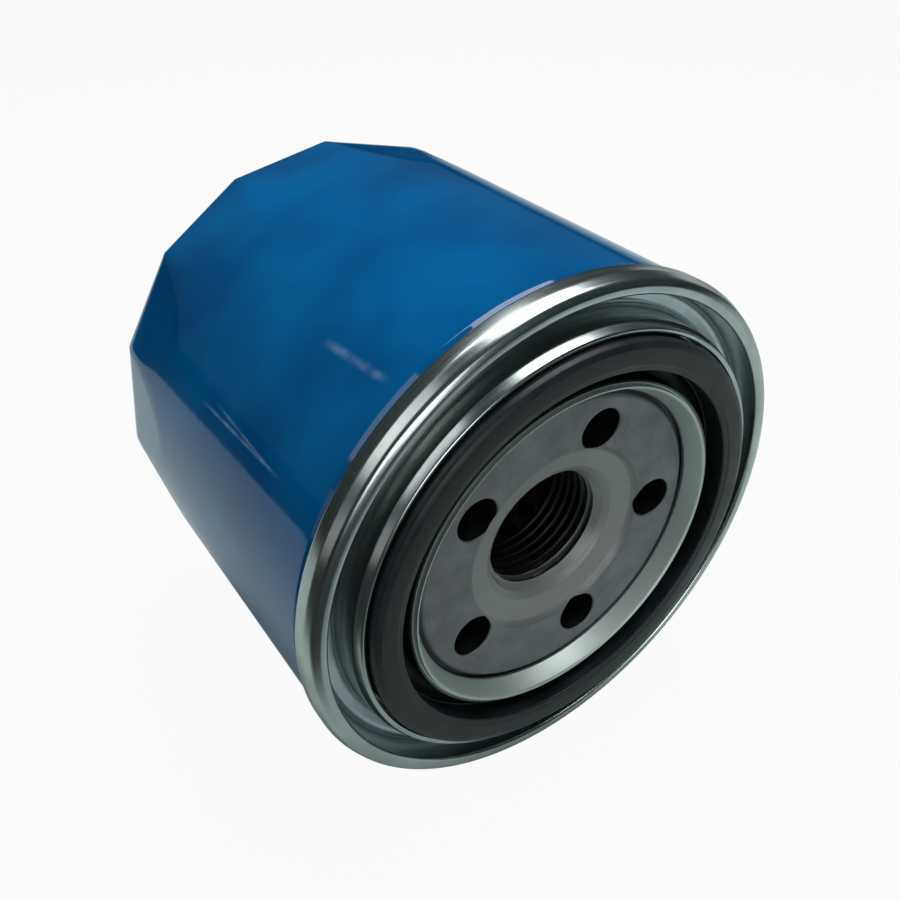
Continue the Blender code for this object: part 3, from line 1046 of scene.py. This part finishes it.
@dataclass
class TappingPlate:
    """The thick steel plate: raised face, punched inlet holes, and the hub with its M20 x 1.5 thread."""

    radius: float = 33.2
    rim_depth: float = 5.3
    thickness: float = 3.0
    face_radius: float = 23.0
    face_depth: float = 3.9
    face_inner: float = 15.1
    hub_radius: float = 14.3
    hub_depth: float = 5.2
    neck_radius: float = 12.6
    thread_minor: float = 9.25
    thread_major: float = 10.0
    pitch: float = 1.5
    holes: int = 5
    hole_radius: float = 3.2
    hole_circle: float = 17.8
    hole_angle: float = -1.0
    rollover: float = 0.35

    def blank(self, end: float) -> bpy.types.Mesh:
        """The plate before its holes are punched and its thread is cut."""
        mouth = self.thread_major + 0.2
        front = [
            (self.radius, self.rim_depth, 0.4),
            (self.face_radius + 0.65, self.rim_depth, 0.5),
            (self.face_radius, self.face_depth, 0.55),
            (self.face_inner, self.face_depth + 0.5, 0.5),
            (self.hub_radius, self.hub_depth, 0.4),
            (self.thread_major + 1.2, self.hub_depth + 0.8, 0.3),
            (mouth, self.hub_depth + 1.5, 0.15),
            (self.thread_minor, self.hub_depth + 2.4, 0.0),
        ]
        bore = divided([(self.thread_minor, self.hub_depth + 2.4), (self.thread_minor, end - 0.5)], 0.105)
        back = [
            (self.thread_minor + 0.5, end, 0.1),
            (self.neck_radius, end, 0.4),
            (self.neck_radius, 9.6, 0.8),
            (14.0, 8.4, 0.5),
            (16.0, 7.5, 0.5),
            (22.4, self.face_depth + self.thickness, 0.5),
            (24.0, self.rim_depth + self.thickness, 0.5),
            (self.radius, self.rim_depth + self.thickness, 0.4),
        ]
        outer = rounded(front + back)
        first = next(i for i, p in enumerate(outer) if p == front[-1][:2])
        return turned(outer[:first] + bore + outer[first + 1 :], 180)

    def punch(self) -> bpy.types.Mesh:
        """The punch for one inlet hole, flared where the sheet rolls over its edge."""
        slope = math.atan2(0.5, self.face_radius - self.face_inner)
        shank, front, back, proud, steps = self.hole_radius + 1.6, -4.0, 9.0, 0.02, 6
        section = [(0.0, front), (shank, front), (shank, -proud)]
        for number in range(steps + 1):
            angle = math.radians(90 * number / steps)
            across = self.hole_radius + self.rollover * (1 - math.sin(angle))
            section.append((across, self.rollover * (1 - math.cos(angle)) - proud))
        section += [(self.hole_radius, back), (0.0, back)]
        mesh = turned(section, 48, closed=False)
        depth = self.face_depth + (self.face_radius - self.hole_circle) * math.tan(slope)
        tilt = Matrix.Rotation(-slope, 4, "Z")
        mesh.transform(Matrix.Translation((self.hole_circle, depth, 0.0)) @ tilt)
        return mesh

    def thread(self, plate: bpy.types.Mesh, start: float, end: float) -> bpy.types.Mesh:
        """Cuts the right-handed thread into the bore, with the flats and flanks of a metric one."""
        work = Shaper(
            "MetricThread",
            {
                "Minor Radius": self.thread_minor,
                "Major Radius": self.thread_major,
                "Pitch": self.pitch,
                "Start": start,
                "End": end,
            },
        )
        put, size, step = work.put, work.size, work.sum
        x, y, z, radius, angle = work.cylindrical()
        turn = step("DIVIDE", angle, math.tau)
        phase = step("FRACT", step("ADD", step("DIVIDE", y, size("Pitch")), turn))
        off_root = step("MULTIPLY", step("ABSOLUTE", step("SUBTRACT", phase, 0.5)), 2.0)
        cut = ranged(put, off_root, 0.75, 0.125)
        depth = step("SUBTRACT", size("Major Radius"), size("Minor Radius"))
        target = step("MULTIPLY_ADD", cut, depth, size("Minor Radius"))
        reach = step("MAXIMUM", radius, target)
        moved = work.stretched(x, y, z, radius, reach)
        near = step("LESS_THAN", radius, step("ADD", size("Major Radius"), 0.01))
        behind = step("GREATER_THAN", y, size("Start"))
        before = step("LESS_THAN", y, size("End"))
        bore = step("MULTIPLY", near, step("MULTIPLY", behind, before))
        threaded = put(
            "GeometryNodeSetPosition",
            {"Geometry": size("Geometry"), "Selection": step("GREATER_THAN", bore, 0.5), "Position": moved},
        )
        return work.grow(threaded, PLATE_STEEL, plate)

    def build(self) -> None:
        """Builds and dresses the plate."""
        end = depths("tapping_plate")[1]
        plate = punched(self.blank(end), self.punch(), self.holes, self.hole_angle, PLATE_STEEL)
        plate = self.thread(plate, self.hub_depth + 1.6, end - 0.02)
        piece("tapping_plate_threaded", plate, PLATE_STEEL, Body.HOUSING, Slot.BARE_STEEL, "tapping_plate")


@dataclass
class Gasket:
    """The moulded nitrile gasket: square-cut, with softly rounded corners and shallow steps."""

    inner: float = 28.2
    outer: float = 32.5

    def build(self) -> None:
        """Builds and dresses the gasket."""
        start, end = depths("sealing_gasket")
        section = rounded(
            [
                (self.inner, end, 0.2),
                (self.inner, start + 0.25, 0.3),
                (self.inner + 0.75, start + 0.12, 0.3),
                (self.inner + 1.0, start, 0.3),
                (self.outer - 1.1, start, 0.4),
                (self.outer - 0.3, start + 0.3, 0.4),
                (self.outer, start + 0.9, 0.4),
                (self.outer, end, 0.2),
            ]
        )
        housing, slot = Body.HOUSING, Slot.RUBBER
        turned_piece("sealing_gasket_nitrile", section, NITRILE, housing, slot, "sealing_gasket", RIM_SIDES)


@dataclass
class DrainbackValve:
    """The rubber valve round the plate's neck: its collar and its lip, in one piece."""

    bore: float = 12.9
    collar: float = 15.1
    rim: float = 26.0
    collar_start: float = 12.0

    def build(self) -> None:
        """Builds and dresses the valve."""
        start, end = depths("anti_drainback_valve")
        section = rounded(
            [
                (self.bore, self.collar_start, 0.25),
                (self.collar - 0.6, self.collar_start, 0.6),
                (self.rim - 2.5, start + 0.25, 1.5),
                (self.rim, start + 0.02, 0.15),
                (self.rim + 0.38, start + 0.75, 0.25),
                (self.rim - 2.3, start + 1.4, 1.5),
                (self.collar, self.collar_start + 1.4, 0.6),
                (self.collar, end, 0.3),
                (self.bore, end, 0.3),
            ]
        )
        mesh = turned(section)
        valve = dressed("drainback_valve_nitrile", mesh, NITRILE)
        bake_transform(valve)
        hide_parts("anti_drainback_valve")
        log.info("drainback_valve_nitrile: %d faces, bends between two bodies", len(mesh.polygons))


@dataclass
class Cartridge:
    """The filter element: pleated paper between two capped ends, round a perforated tube."""

    radius: float = 33.8
    sheet: float = 0.4
    tube_radius: float = 13.1
    tube_wall: float = 0.5
    boss_radius: float = 10.8
    bypass_bore: float = 6.4
    pleats: int = 44
    paper: float = 0.6
    paper_outer: float = 32.2
    paper_inner: float = 14.8
    holes_round: int = 18
    hole_rows: int = 8
    hole_share: float = 0.34

    def caps(self) -> None:
        """The two pressed end caps."""
        start, end = depths("outlet_end_cap")
        inner, rim, sheet = self.tube_radius - 0.9, self.radius - self.sheet, self.sheet
        outlet = rounded(
            [
                (inner, start, 0.1),
                (self.radius, start, 0.75),
                (self.radius, end, 0.12),
                (rim, end, 0.12),
                (rim, start + sheet, 0.4),
                (inner, start + sheet, 0.1),
            ]
        )
        turned_piece("outlet_end_cap_tinplate", outlet, TINPLATE, Body.ELEMENT, Slot.TIN, "outlet_end_cap")
        start, boss = depths("dome_end_cap")
        end = boss - 2.5
        dome = rounded(
            [
                (self.radius, start, 0.12),
                (self.radius, end, 0.75),
                (self.boss_radius + 0.3, end, 0.5),
                (self.boss_radius, boss, 0.7),
                (self.bypass_bore, boss, 0.1),
                (self.bypass_bore, boss - sheet, 0.1),
                (self.boss_radius - sheet, boss - sheet, 0.4),
                (self.boss_radius - sheet + 0.3, end - sheet, 0.4),
                (rim, end - sheet, 0.4),
                (rim, start, 0.12),
            ]
        )
        turned_piece("dome_end_cap_tinplate", dome, TINPLATE, Body.ELEMENT, Slot.TIN, "dome_end_cap")

    def potting(self) -> None:
        """The rings of adhesive, with the meniscus that they cure with."""
        inner, outer = self.tube_radius + 0.3, self.radius - self.sheet - 0.3
        for node, name in (("outlet_potting", "outlet_potting_ring"), ("dome_potting", "dome_potting_ring")):
            near, far = depths(node)
            ring = rounded([(inner, near, 0.25), (outer, near, 0.4), (outer, far, 0.4), (inner, far, 0.25)])
            turned_piece(name, ring, PLASTISOL, Body.ELEMENT, Slot.ADHESIVE, node, SMALL_SIDES)

    def media(self) -> None:
        """The pleated paper: a wave round the axis with rounded folds, a little uneven as real pleats are."""
        start, end = depths("pleated_media")
        work = Shaper(
            "PleatedPaper",
            {
                "Pleats": self.pleats,
                "Outer Radius": self.paper_outer,
                "Inner Radius": self.paper_inner,
                "Start": start,
                "Height": end - start,
                "Fold Sharpness": 0.975,
                "Unevenness": 0.22,
                "Samples": self.pleats * 20,
                "Rows": 9,
            },
        )
        put, size, step = work.put, work.size, work.sum
        sheet = put(
            "GeometryNodeMeshGrid",
            {
                "Size X": 1.0,
                "Size Y": 1.0,
                "Vertices X": step("ADD", size("Samples"), 1),
                "Vertices Y": size("Rows"),
            },
        )
        place = put("ShaderNodeSeparateXYZ", {0: put("GeometryNodeInputPosition", {})})
        round_share, height_share = place.outputs[0], step("ADD", place.outputs[1], 0.5)
        angle = step("MULTIPLY", round_share, math.tau)
        wave = step("SINE", step("MULTIPLY", angle, size("Pleats")))
        folded = step("ARCSINE", step("MULTIPLY", wave, size("Fold Sharpness")))
        fold = step("DIVIDE", folded, step("ARCSINE", size("Fold Sharpness")))
        middle = step("MULTIPLY", step("ADD", size("Outer Radius"), size("Inner Radius")), 0.5)
        swing = step("MULTIPLY", step("SUBTRACT", size("Outer Radius"), size("Inner Radius")), 0.5)
        values = {"X": step("COSINE", angle), "Y": height_share, "Z": step("SINE", angle)}
        ring = put("ShaderNodeCombineXYZ", values)
        ripple = noise(put, ring, 7.0, 1.0)
        wobble = step("MULTIPLY", step("SUBTRACT", ripple, 0.5), size("Unevenness"))
        radius = step("ADD", step("MULTIPLY_ADD", fold, swing, middle), wobble)
        lean = step("DIVIDE", step("MULTIPLY", wobble, 1.6), size("Inner Radius"))
        turn = step("ADD", angle, lean)
        moved = work.on_ring(radius, turn, step("MULTIPLY_ADD", height_share, size("Height"), size("Start")))
        wrapped = put("GeometryNodeSetPosition", {"Geometry": sheet, "Position": moved})
        joined = put("GeometryNodeMergeByDistance", {"Geometry": wrapped, "Distance": 0.005})
        mesh = work.grow(joined, PAPER, wall=self.paper)
        piece("filter_paper_pleats", mesh, PAPER, Body.ELEMENT, Slot.PAPER, "pleated_media")

    def clip(self) -> None:
        """The folded strip that clamps the paper's two ends together."""
        start, end = depths("media_seam_clip")
        section = rounded(
            [
                (27.1, -0.5, 0.1),
                (31.7, -0.5, 0.45),
                (31.7, 0.5, 0.45),
                (27.1, 0.5, 0.1),
                (27.1, 0.22, 0.05),
                (31.2, 0.18, 0.15),
                (31.2, -0.18, 0.15),
                (27.1, -0.22, 0.05),
            ]
        )
        mesh = extruded(section, start, end)
        mesh.transform(Matrix.Rotation(math.pi / self.pleats, 4, "Y"))
        piece("paper_seam_clip", mesh, TINPLATE, Body.ELEMENT, Slot.TIN, "media_seam_clip")

    def tube(self) -> None:
        """The perforated tube: rolled from a sheet with staggered rows of round holes."""
        start, end = depths("centre_tube")
        cell = helper("perforation", self.cell())
        work = Shaper(
            "PerforatedTube",
            {
                "Radius": self.tube_radius - self.tube_wall / 2,
                "Start": start,
                "Height": end - start,
                "Holes Round": self.holes_round,
                "Rows": self.hole_rows,
                "Cell": cell,
            },
        )
        put, size, step = work.put, work.size, work.sum
        grid = put(
            "GeometryNodeMeshGrid",
            {
                "Size X": step("SUBTRACT", size("Holes Round"), 1),
                "Size Y": step("SUBTRACT", size("Rows"), 1),
                "Vertices X": size("Holes Round"),
                "Vertices Y": size("Rows"),
            },
        )
        spot = put("ShaderNodeSeparateXYZ", {0: put("GeometryNodeInputPosition", {})})
        row = step("ADD", spot.outputs[1], step("MULTIPLY", step("SUBTRACT", size("Rows"), 1), 0.5))
        odd = step("MODULO", step("ROUND", row), 2.0)
        shift = put("ShaderNodeCombineXYZ", {"X": step("MULTIPLY", odd, 0.5), "Y": 0.0})
        staggered = put("GeometryNodeSetPosition", {"Geometry": grid, "Offset": shift})
        shape = put("GeometryNodeObjectInfo", {"Object": size("Cell")})
        values = {"Points": staggered, "Instance": shape.outputs["Geometry"]}
        cells = put("GeometryNodeInstanceOnPoints", values)
        real = put("GeometryNodeRealizeInstances", {"Geometry": cells})
        flat = put("ShaderNodeSeparateXYZ", {0: put("GeometryNodeInputPosition", {})})
        angle = step("MULTIPLY", step("DIVIDE", flat.outputs[0], size("Holes Round")), math.tau)
        share = step("ADD", step("DIVIDE", flat.outputs[1], size("Rows")), 0.5)
        depth = step("MULTIPLY_ADD", share, size("Height"), size("Start"))
        moved = work.on_ring(size("Radius"), angle, depth)
        rolled = put("GeometryNodeSetPosition", {"Geometry": real, "Position": moved})
        joined = put("GeometryNodeMergeByDistance", {"Geometry": rolled, "Distance": 0.01})
        mesh = work.grow(joined, TINPLATE, wall=self.tube_wall)
        bpy.data.objects.remove(cell)
        piece("centre_tube_perforated", mesh, TINPLATE, Body.ELEMENT, Slot.TIN, "centre_tube")

    def cell(self) -> bpy.types.Mesh:
        """One square of the tube's sheet, one unit wide, with its round hole."""
        edge = [(-0.5 + n / 4, -0.5) for n in range(4)] + [(0.5, -0.5 + n / 4) for n in range(4)]
        edge += [(0.5 - n / 4, 0.5) for n in range(4)] + [(-0.5, 0.5 - n / 4) for n in range(4)]
        hole = []
        for x, y in edge:
            length = math.hypot(x, y)
            hole.append((x / length * self.hole_share, y / length * self.hole_share))
        count = len(edge)
        faces = [(i, (i + 1) % count, count + (i + 1) % count, count + i) for i in range(count)]
        mesh = bpy.data.meshes.new("perforation")
        mesh.from_pydata([(x, y, 0.0) for x, y in edge + hole], [], faces)
        return mesh

    def build(self) -> None:
        """Builds and dresses the element."""
        self.caps()
        self.potting()
        self.media()
        self.clip()
        self.tube()


@dataclass
class Spring:
    """A coiled spring with closed ends."""

    name: str
    node: str
    body: Body
    wire: float
    turns: float
    start_radius: float
    end_radius: float
    joint: str
    travel: float
    fixed_at_end: bool
    closed: float = 0.75
    steps: int = 44

    def build(self) -> None:
        """Builds, dresses and hangs the spring."""
        low, high = depths(self.node)
        radius = self.wire / 2
        count = int(self.turns * self.steps) + 1
        work = Shaper(
            "CoiledSpring",
            {
                "Turns": self.turns,
                "Closed Turns": self.closed,
                "Wire Radius": radius,
                "Start": low + radius,
                "Length": high - low - 2 * radius,
                "Start Radius": self.start_radius,
                "End Radius": self.end_radius,
                "Points": count,
            },
        )
        put, size, step = work.put, work.size, work.sum
        line = put("GeometryNodeMeshLine", {"Count": size("Points"), "Offset": (0.0, 0.0, 0.0)})
        index = put("GeometryNodeInputIndex", {})
        share = step("DIVIDE", index, step("SUBTRACT", size("Points"), 1))
        turn = step("MULTIPLY", share, size("Turns"))
        angle = step("MULTIPLY", turn, math.tau)
        last = step("SUBTRACT", size("Turns"), size("Closed Turns"))
        climb = put(
            "ShaderNodeMapRange",
            {"Value": turn, "From Min": size("Closed Turns"), "From Max": last},
            interpolation_type="LINEAR",
        )
        reach = step("MULTIPLY_ADD", share, 0.16, step("MULTIPLY", climb, 0.84))
        widen = step("SUBTRACT", size("End Radius"), size("Start Radius"))
        across = step("MULTIPLY_ADD", share, widen, size("Start Radius"))
        moved = work.on_ring(across, angle, step("MULTIPLY_ADD", reach, size("Length"), size("Start")))
        helix = put("GeometryNodeSetPosition", {"Geometry": line, "Position": moved})
        path = put("GeometryNodeMeshToCurve", {"Mesh": helix})
        ring = put("GeometryNodeCurvePrimitiveCircle", {"Resolution": 14, "Radius": size("Wire Radius")})
        wire = put("GeometryNodeCurveToMesh", {"Curve": path, "Profile Curve": ring, "Fill Caps": True})
        mesh = work.grow(wire, SPRING_WIRE)
        spring = piece(self.name, mesh, SPRING_WIRE, self.body, Slot.SPRING, self.node)
        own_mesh(spring)


@dataclass
class BypassValve:
    """The relief valve in the dome end cap: cage, seal, poppet and spring seat."""

    wall_radius: float = 9.5
    flange_radius: float = 11.9
    sheet: float = 0.4
    windows: int = 4

    def cage(self) -> None:
        """The pressed cage with its windows."""
        start, end = depths("bypass_cage")
        outer, inner = self.wall_radius + self.sheet / 2, self.wall_radius - self.sheet / 2
        cup = rounded(
            [
                (self.wall_radius - 1.6, start, 0.1),
                (outer, start, 0.45),
                (outer, end - self.sheet, 0.25),
                (self.flange_radius, end - self.sheet, 0.12),
                (self.flange_radius, end, 0.12),
                (inner, end, 0.45),
                (inner, start + self.sheet, 0.2),
                (self.wall_radius - 1.6, start + self.sheet, 0.1),
            ]
        )
        near, far, half, fillet = start + 2.7, start + 8.7, 4.6, 1.0
        ends = [(near, -half, fillet), (far, -half, fillet), (far, half, fillet), (near, half, fillet)]
        window = rounded(ends)
        punch = extruded(window, inner - 2.5, outer + 2.5)
        # The bar is built along Y with its section in (depth, across), and turned to point outwards.
        punch.transform(Matrix(((0, 1, 0, 0), (1, 0, 0, 0), (0, 0, 1, 0), (0, 0, 0, 1))))
        mesh = punched(turned(cup, SMALL_SIDES), outward(punch), self.windows, 45.0, TINPLATE, "MANIFOLD")
        piece("bypass_cage_tinplate", mesh, TINPLATE, Body.ELEMENT, Slot.TIN, "bypass_cage")

    def build(self) -> None:
        """Builds and dresses the valve."""
        self.cage()
        start, end = depths("bypass_seal")
        seal = rounded([(6.4, start, 0.12), (8.8, start, 0.12), (8.8, end, 0.12), (6.4, end, 0.12)])
        slot = Slot.RUBBER
        turned_piece("bypass_seal_nitrile", seal, NITRILE, Body.ELEMENT, slot, "bypass_seal", SMALL_SIDES)
        start, end = depths("bypass_poppet")
        poppet = rounded(
            [
                (0.0, start, 0.0),
                (2.35, start, 0.5),
                (2.35, end - 1.6, 0.5),
                (7.6, end - 1.0, 0.5),
                (8.15, end - 0.6, 0.15),
                (8.15, end, 0.25),
                (5.6, end, 0.2),
                (5.2, end - 0.3, 0.2),
                (0.0, end - 0.3, 0.0),
            ],
            closed=False,
        )
        mesh = turned(poppet, SMALL_SIDES, closed=False)
        piece("bypass_poppet_nylon", mesh, NYLON, Body.POPPET, Slot.NYLON, "bypass_poppet")
        start, end = depths("bypass_spring_seat")
        seat = rounded(
            [
                (3.45, start, 0.2),
                (8.95, start, 0.2),
                (8.95, start + 0.65, 0.2),
                (4.55, start + 0.65, 0.3),
                (4.55, end, 0.25),
                (3.45, end, 0.25),
            ]
        )
        name, node = "bypass_spring_seat_ring", "bypass_spring_seat"
        turned_piece(name, seat, TINPLATE, Body.ELEMENT, Slot.TIN, node, SMALL_SIDES)


@dataclass
class AreaLamp:
    """A soft rectangular lamp."""

    name: str
    place: tuple[float, float, float]
    aim: tuple[float, float, float]
    size: tuple[float, float]
    power: float
    color: str = "#FFFFFF"

    def build(self) -> None:
        """Hangs the lamp."""
        data = bpy.data.lights.new(self.name, "AREA")
        data.shape = "RECTANGLE"
        data.size, data.size_y = self.size
        data.energy = self.power
        data.color = linear(self.color)[:3]
        lamp = bpy.data.objects.new(self.name, data)
        lamp.location = self.place
        direction = Vector(self.aim) - Vector(self.place)
        lamp.rotation_euler = direction.to_track_quat("-Z", "Y").to_euler()
        bpy.context.scene.collection.objects.link(lamp)


@dataclass
class Studio:
    """The plain pale floor, the soft lamps and the camera."""

    lens: float = 36.738
    azimuth: float = -34.587
    elevation: float = 36.186
    distance: float = 0.14545
    target: tuple[float, float, float] = (-0.00049, 0.0304, 0.00034)
    floor_size: float = 8.0
    floor_color: str = "#FDFDFD"
    sheet_color: str = "#C9D4D1"
    # Beyond the pale sheet the floor is dark; the sheet ends just in front of the filter, so the dark there is
    # painted shade in the reflections.
    table_color: str = "#3E4142"
    sheet_turn: float = 34.6
    sheet_centre: tuple[float, float] = (0.105, 0.4265)
    sheet_half: tuple[float, float] = (0.395, 0.4735)
    room: str = "#354044"
    lamps: list[AreaLamp] = field(
        default_factory=lambda: [
            AreaLamp("overhead_softbox", (0.11, 0.05, 0.42), (0.08, 0.04, 0.0), (0.56, 0.26), 2.5),
            AreaLamp("left_softbox", (-0.33, 0.05, 0.34), (0.0, 0.03, 0.0), (0.32, 0.3), 0.45),
            AreaLamp("left_reflector", (-0.8, 0.0, 0.1), (0.0, 0.0, 0.05), (0.5, 0.26), 0.16),
            AreaLamp("right_reflector", (0.8, 0.26, 0.1), (0.0, 0.0, 0.05), (0.6, 0.26), 0.26),
            AreaLamp("front_fill", (-0.12, -0.6, 0.08), (0.0, 0.0, 0.0), (0.4, 0.25), 1.1),
        ]
    )

    def camera(self) -> None:
        """Sets the camera up at the object's viewing angle."""
        azimuth, elevation = math.radians(self.azimuth), math.radians(self.elevation)
        back = Vector(
            (
                math.sin(azimuth) * math.cos(elevation),
                -math.cos(azimuth) * math.cos(elevation),
                math.sin(elevation),
            )
        )
        data = bpy.data.cameras.new("camera")
        data.lens = self.lens
        data.sensor_width = 36.0
        data.clip_start, data.clip_end = 0.005, 50.0
        camera = bpy.data.objects.new("camera", data)
        camera.location = Vector(self.target) + back * self.distance
        camera.rotation_euler = (-back).to_track_quat("-Z", "Y").to_euler()
        bpy.context.scene.collection.objects.link(camera)
        bpy.context.scene.camera = camera

    def floor(self, height: float) -> None:
        """Lays the floor, which is white to the eye and mid grey in the metal's reflections, with painted shade
        in front of the filter.
        """
        half = self.floor_size / 2
        mesh = bpy.data.meshes.new("floor")
        corners = [(-half, -half, height), (half, -half, height), (half, half, height), (-half, half, height)]
        mesh.from_pydata(corners, [], [(0, 1, 2, 3)])
        material = bpy.data.materials.new("matt_white_paper")
        material.use_nodes = True
        put = functools.partial(add_node, material.node_tree)
        material.node_tree.nodes.clear()
        place = put("ShaderNodeTexCoord", {})
        aligned = put(
            "ShaderNodeMapping",
            {
                "Vector": place.outputs["Object"],
                "Location": (-self.sheet_centre[0], -self.sheet_centre[1], 0.0),
                "Rotation": (0.0, 0.0, math.radians(self.sheet_turn)),
            },
        )
        spot = put("ShaderNodeSeparateXYZ", {"Vector": aligned})
        across = reckon(put, "ABSOLUTE", spot.outputs["X"])
        along = reckon(put, "ABSOLUTE", spot.outputs["Y"])
        near = [
            ranged(put, value, half_size + 0.01, half_size - 0.01)
            for value, half_size in ((across, self.sheet_half[0]), (along, self.sheet_half[1]))
        ]
        # Painted shade: dark beyond the sheet's edges, seen only in reflections.
        sheet = reckon(put, "MULTIPLY", near[0], near[1])
        shade = mixed_color(put, sheet, linear(self.table_color), linear(self.sheet_color))
        paper = put("ShaderNodeBsdfDiffuse", {"Color": shade})
        glow = put("ShaderNodeEmission", {"Color": linear(self.floor_color), "Strength": 1.0})
        path = put("ShaderNodeLightPath", {})
        share = reckon(put, "MULTIPLY", path.outputs["Is Camera Ray"], 0.97)
        both = put("ShaderNodeMixShader", {0: share, 1: paper, 2: glow})
        put("ShaderNodeOutputMaterial", {"Surface": both})
        mesh.materials.append(material)
        floor = bpy.data.objects.new("floor", mesh)
        bpy.context.scene.collection.objects.link(floor)
        floor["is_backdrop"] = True

    def build(self, lowest: float) -> None:
        """Sets up the studio.

        Args:
            lowest: the lowest point of the object, in metres.
        """
        scene = bpy.context.scene
        world = bpy.data.worlds.new("room")
        world.use_nodes = True
        put = functools.partial(add_node, world.node_tree)
        path = put("ShaderNodeLightPath", {})
        shade = mixed_color(put, path.outputs["Is Camera Ray"], linear(self.room), linear(self.floor_color))
        background = world.node_tree.nodes["Background"]
        feed(world.node_tree, background, {"Color": shade})
        scene.world = world
        scene.view_settings.view_transform = "Standard"
        for lamp in self.lamps:
            lamp.build()
        self.floor(lowest)
        self.camera()


def corners(box: tuple[Vector, Vector]) -> list[list[float]]:
    """A box's two corners as plain lists."""
    return [list(corner) for corner in box]


def main() -> None:
    """Builds the filter piece by piece in its studio."""
    logging.basicConfig(level=logging.INFO, format="%(name)s: %(message)s")
    cad_box = corners(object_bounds())
    Studio().build(cad_box[0][2])
    Can().build()
    Lid().build()
    TappingPlate().build()
    Gasket().build()
    DrainbackValve().build()
    Cartridge().build()
    BypassValve().build()
    element, housing = Body.ELEMENT, Body.HOUSING
    Spring(
        "bypass_spring_wire", "bypass_spring", element, 1.0, 5.0, 6.2, 6.2, "bypass_lift", 3.5, False
    ).build()
    Spring(
        "element_spring_wire", "element_spring", housing, 1.6, 3.5, 13.5, 20.0, "element_float", 1.5, True
    ).build()
    {"cad": cad_box, "visual": corners(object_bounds())}


if __name__ == "__main__":
    main()
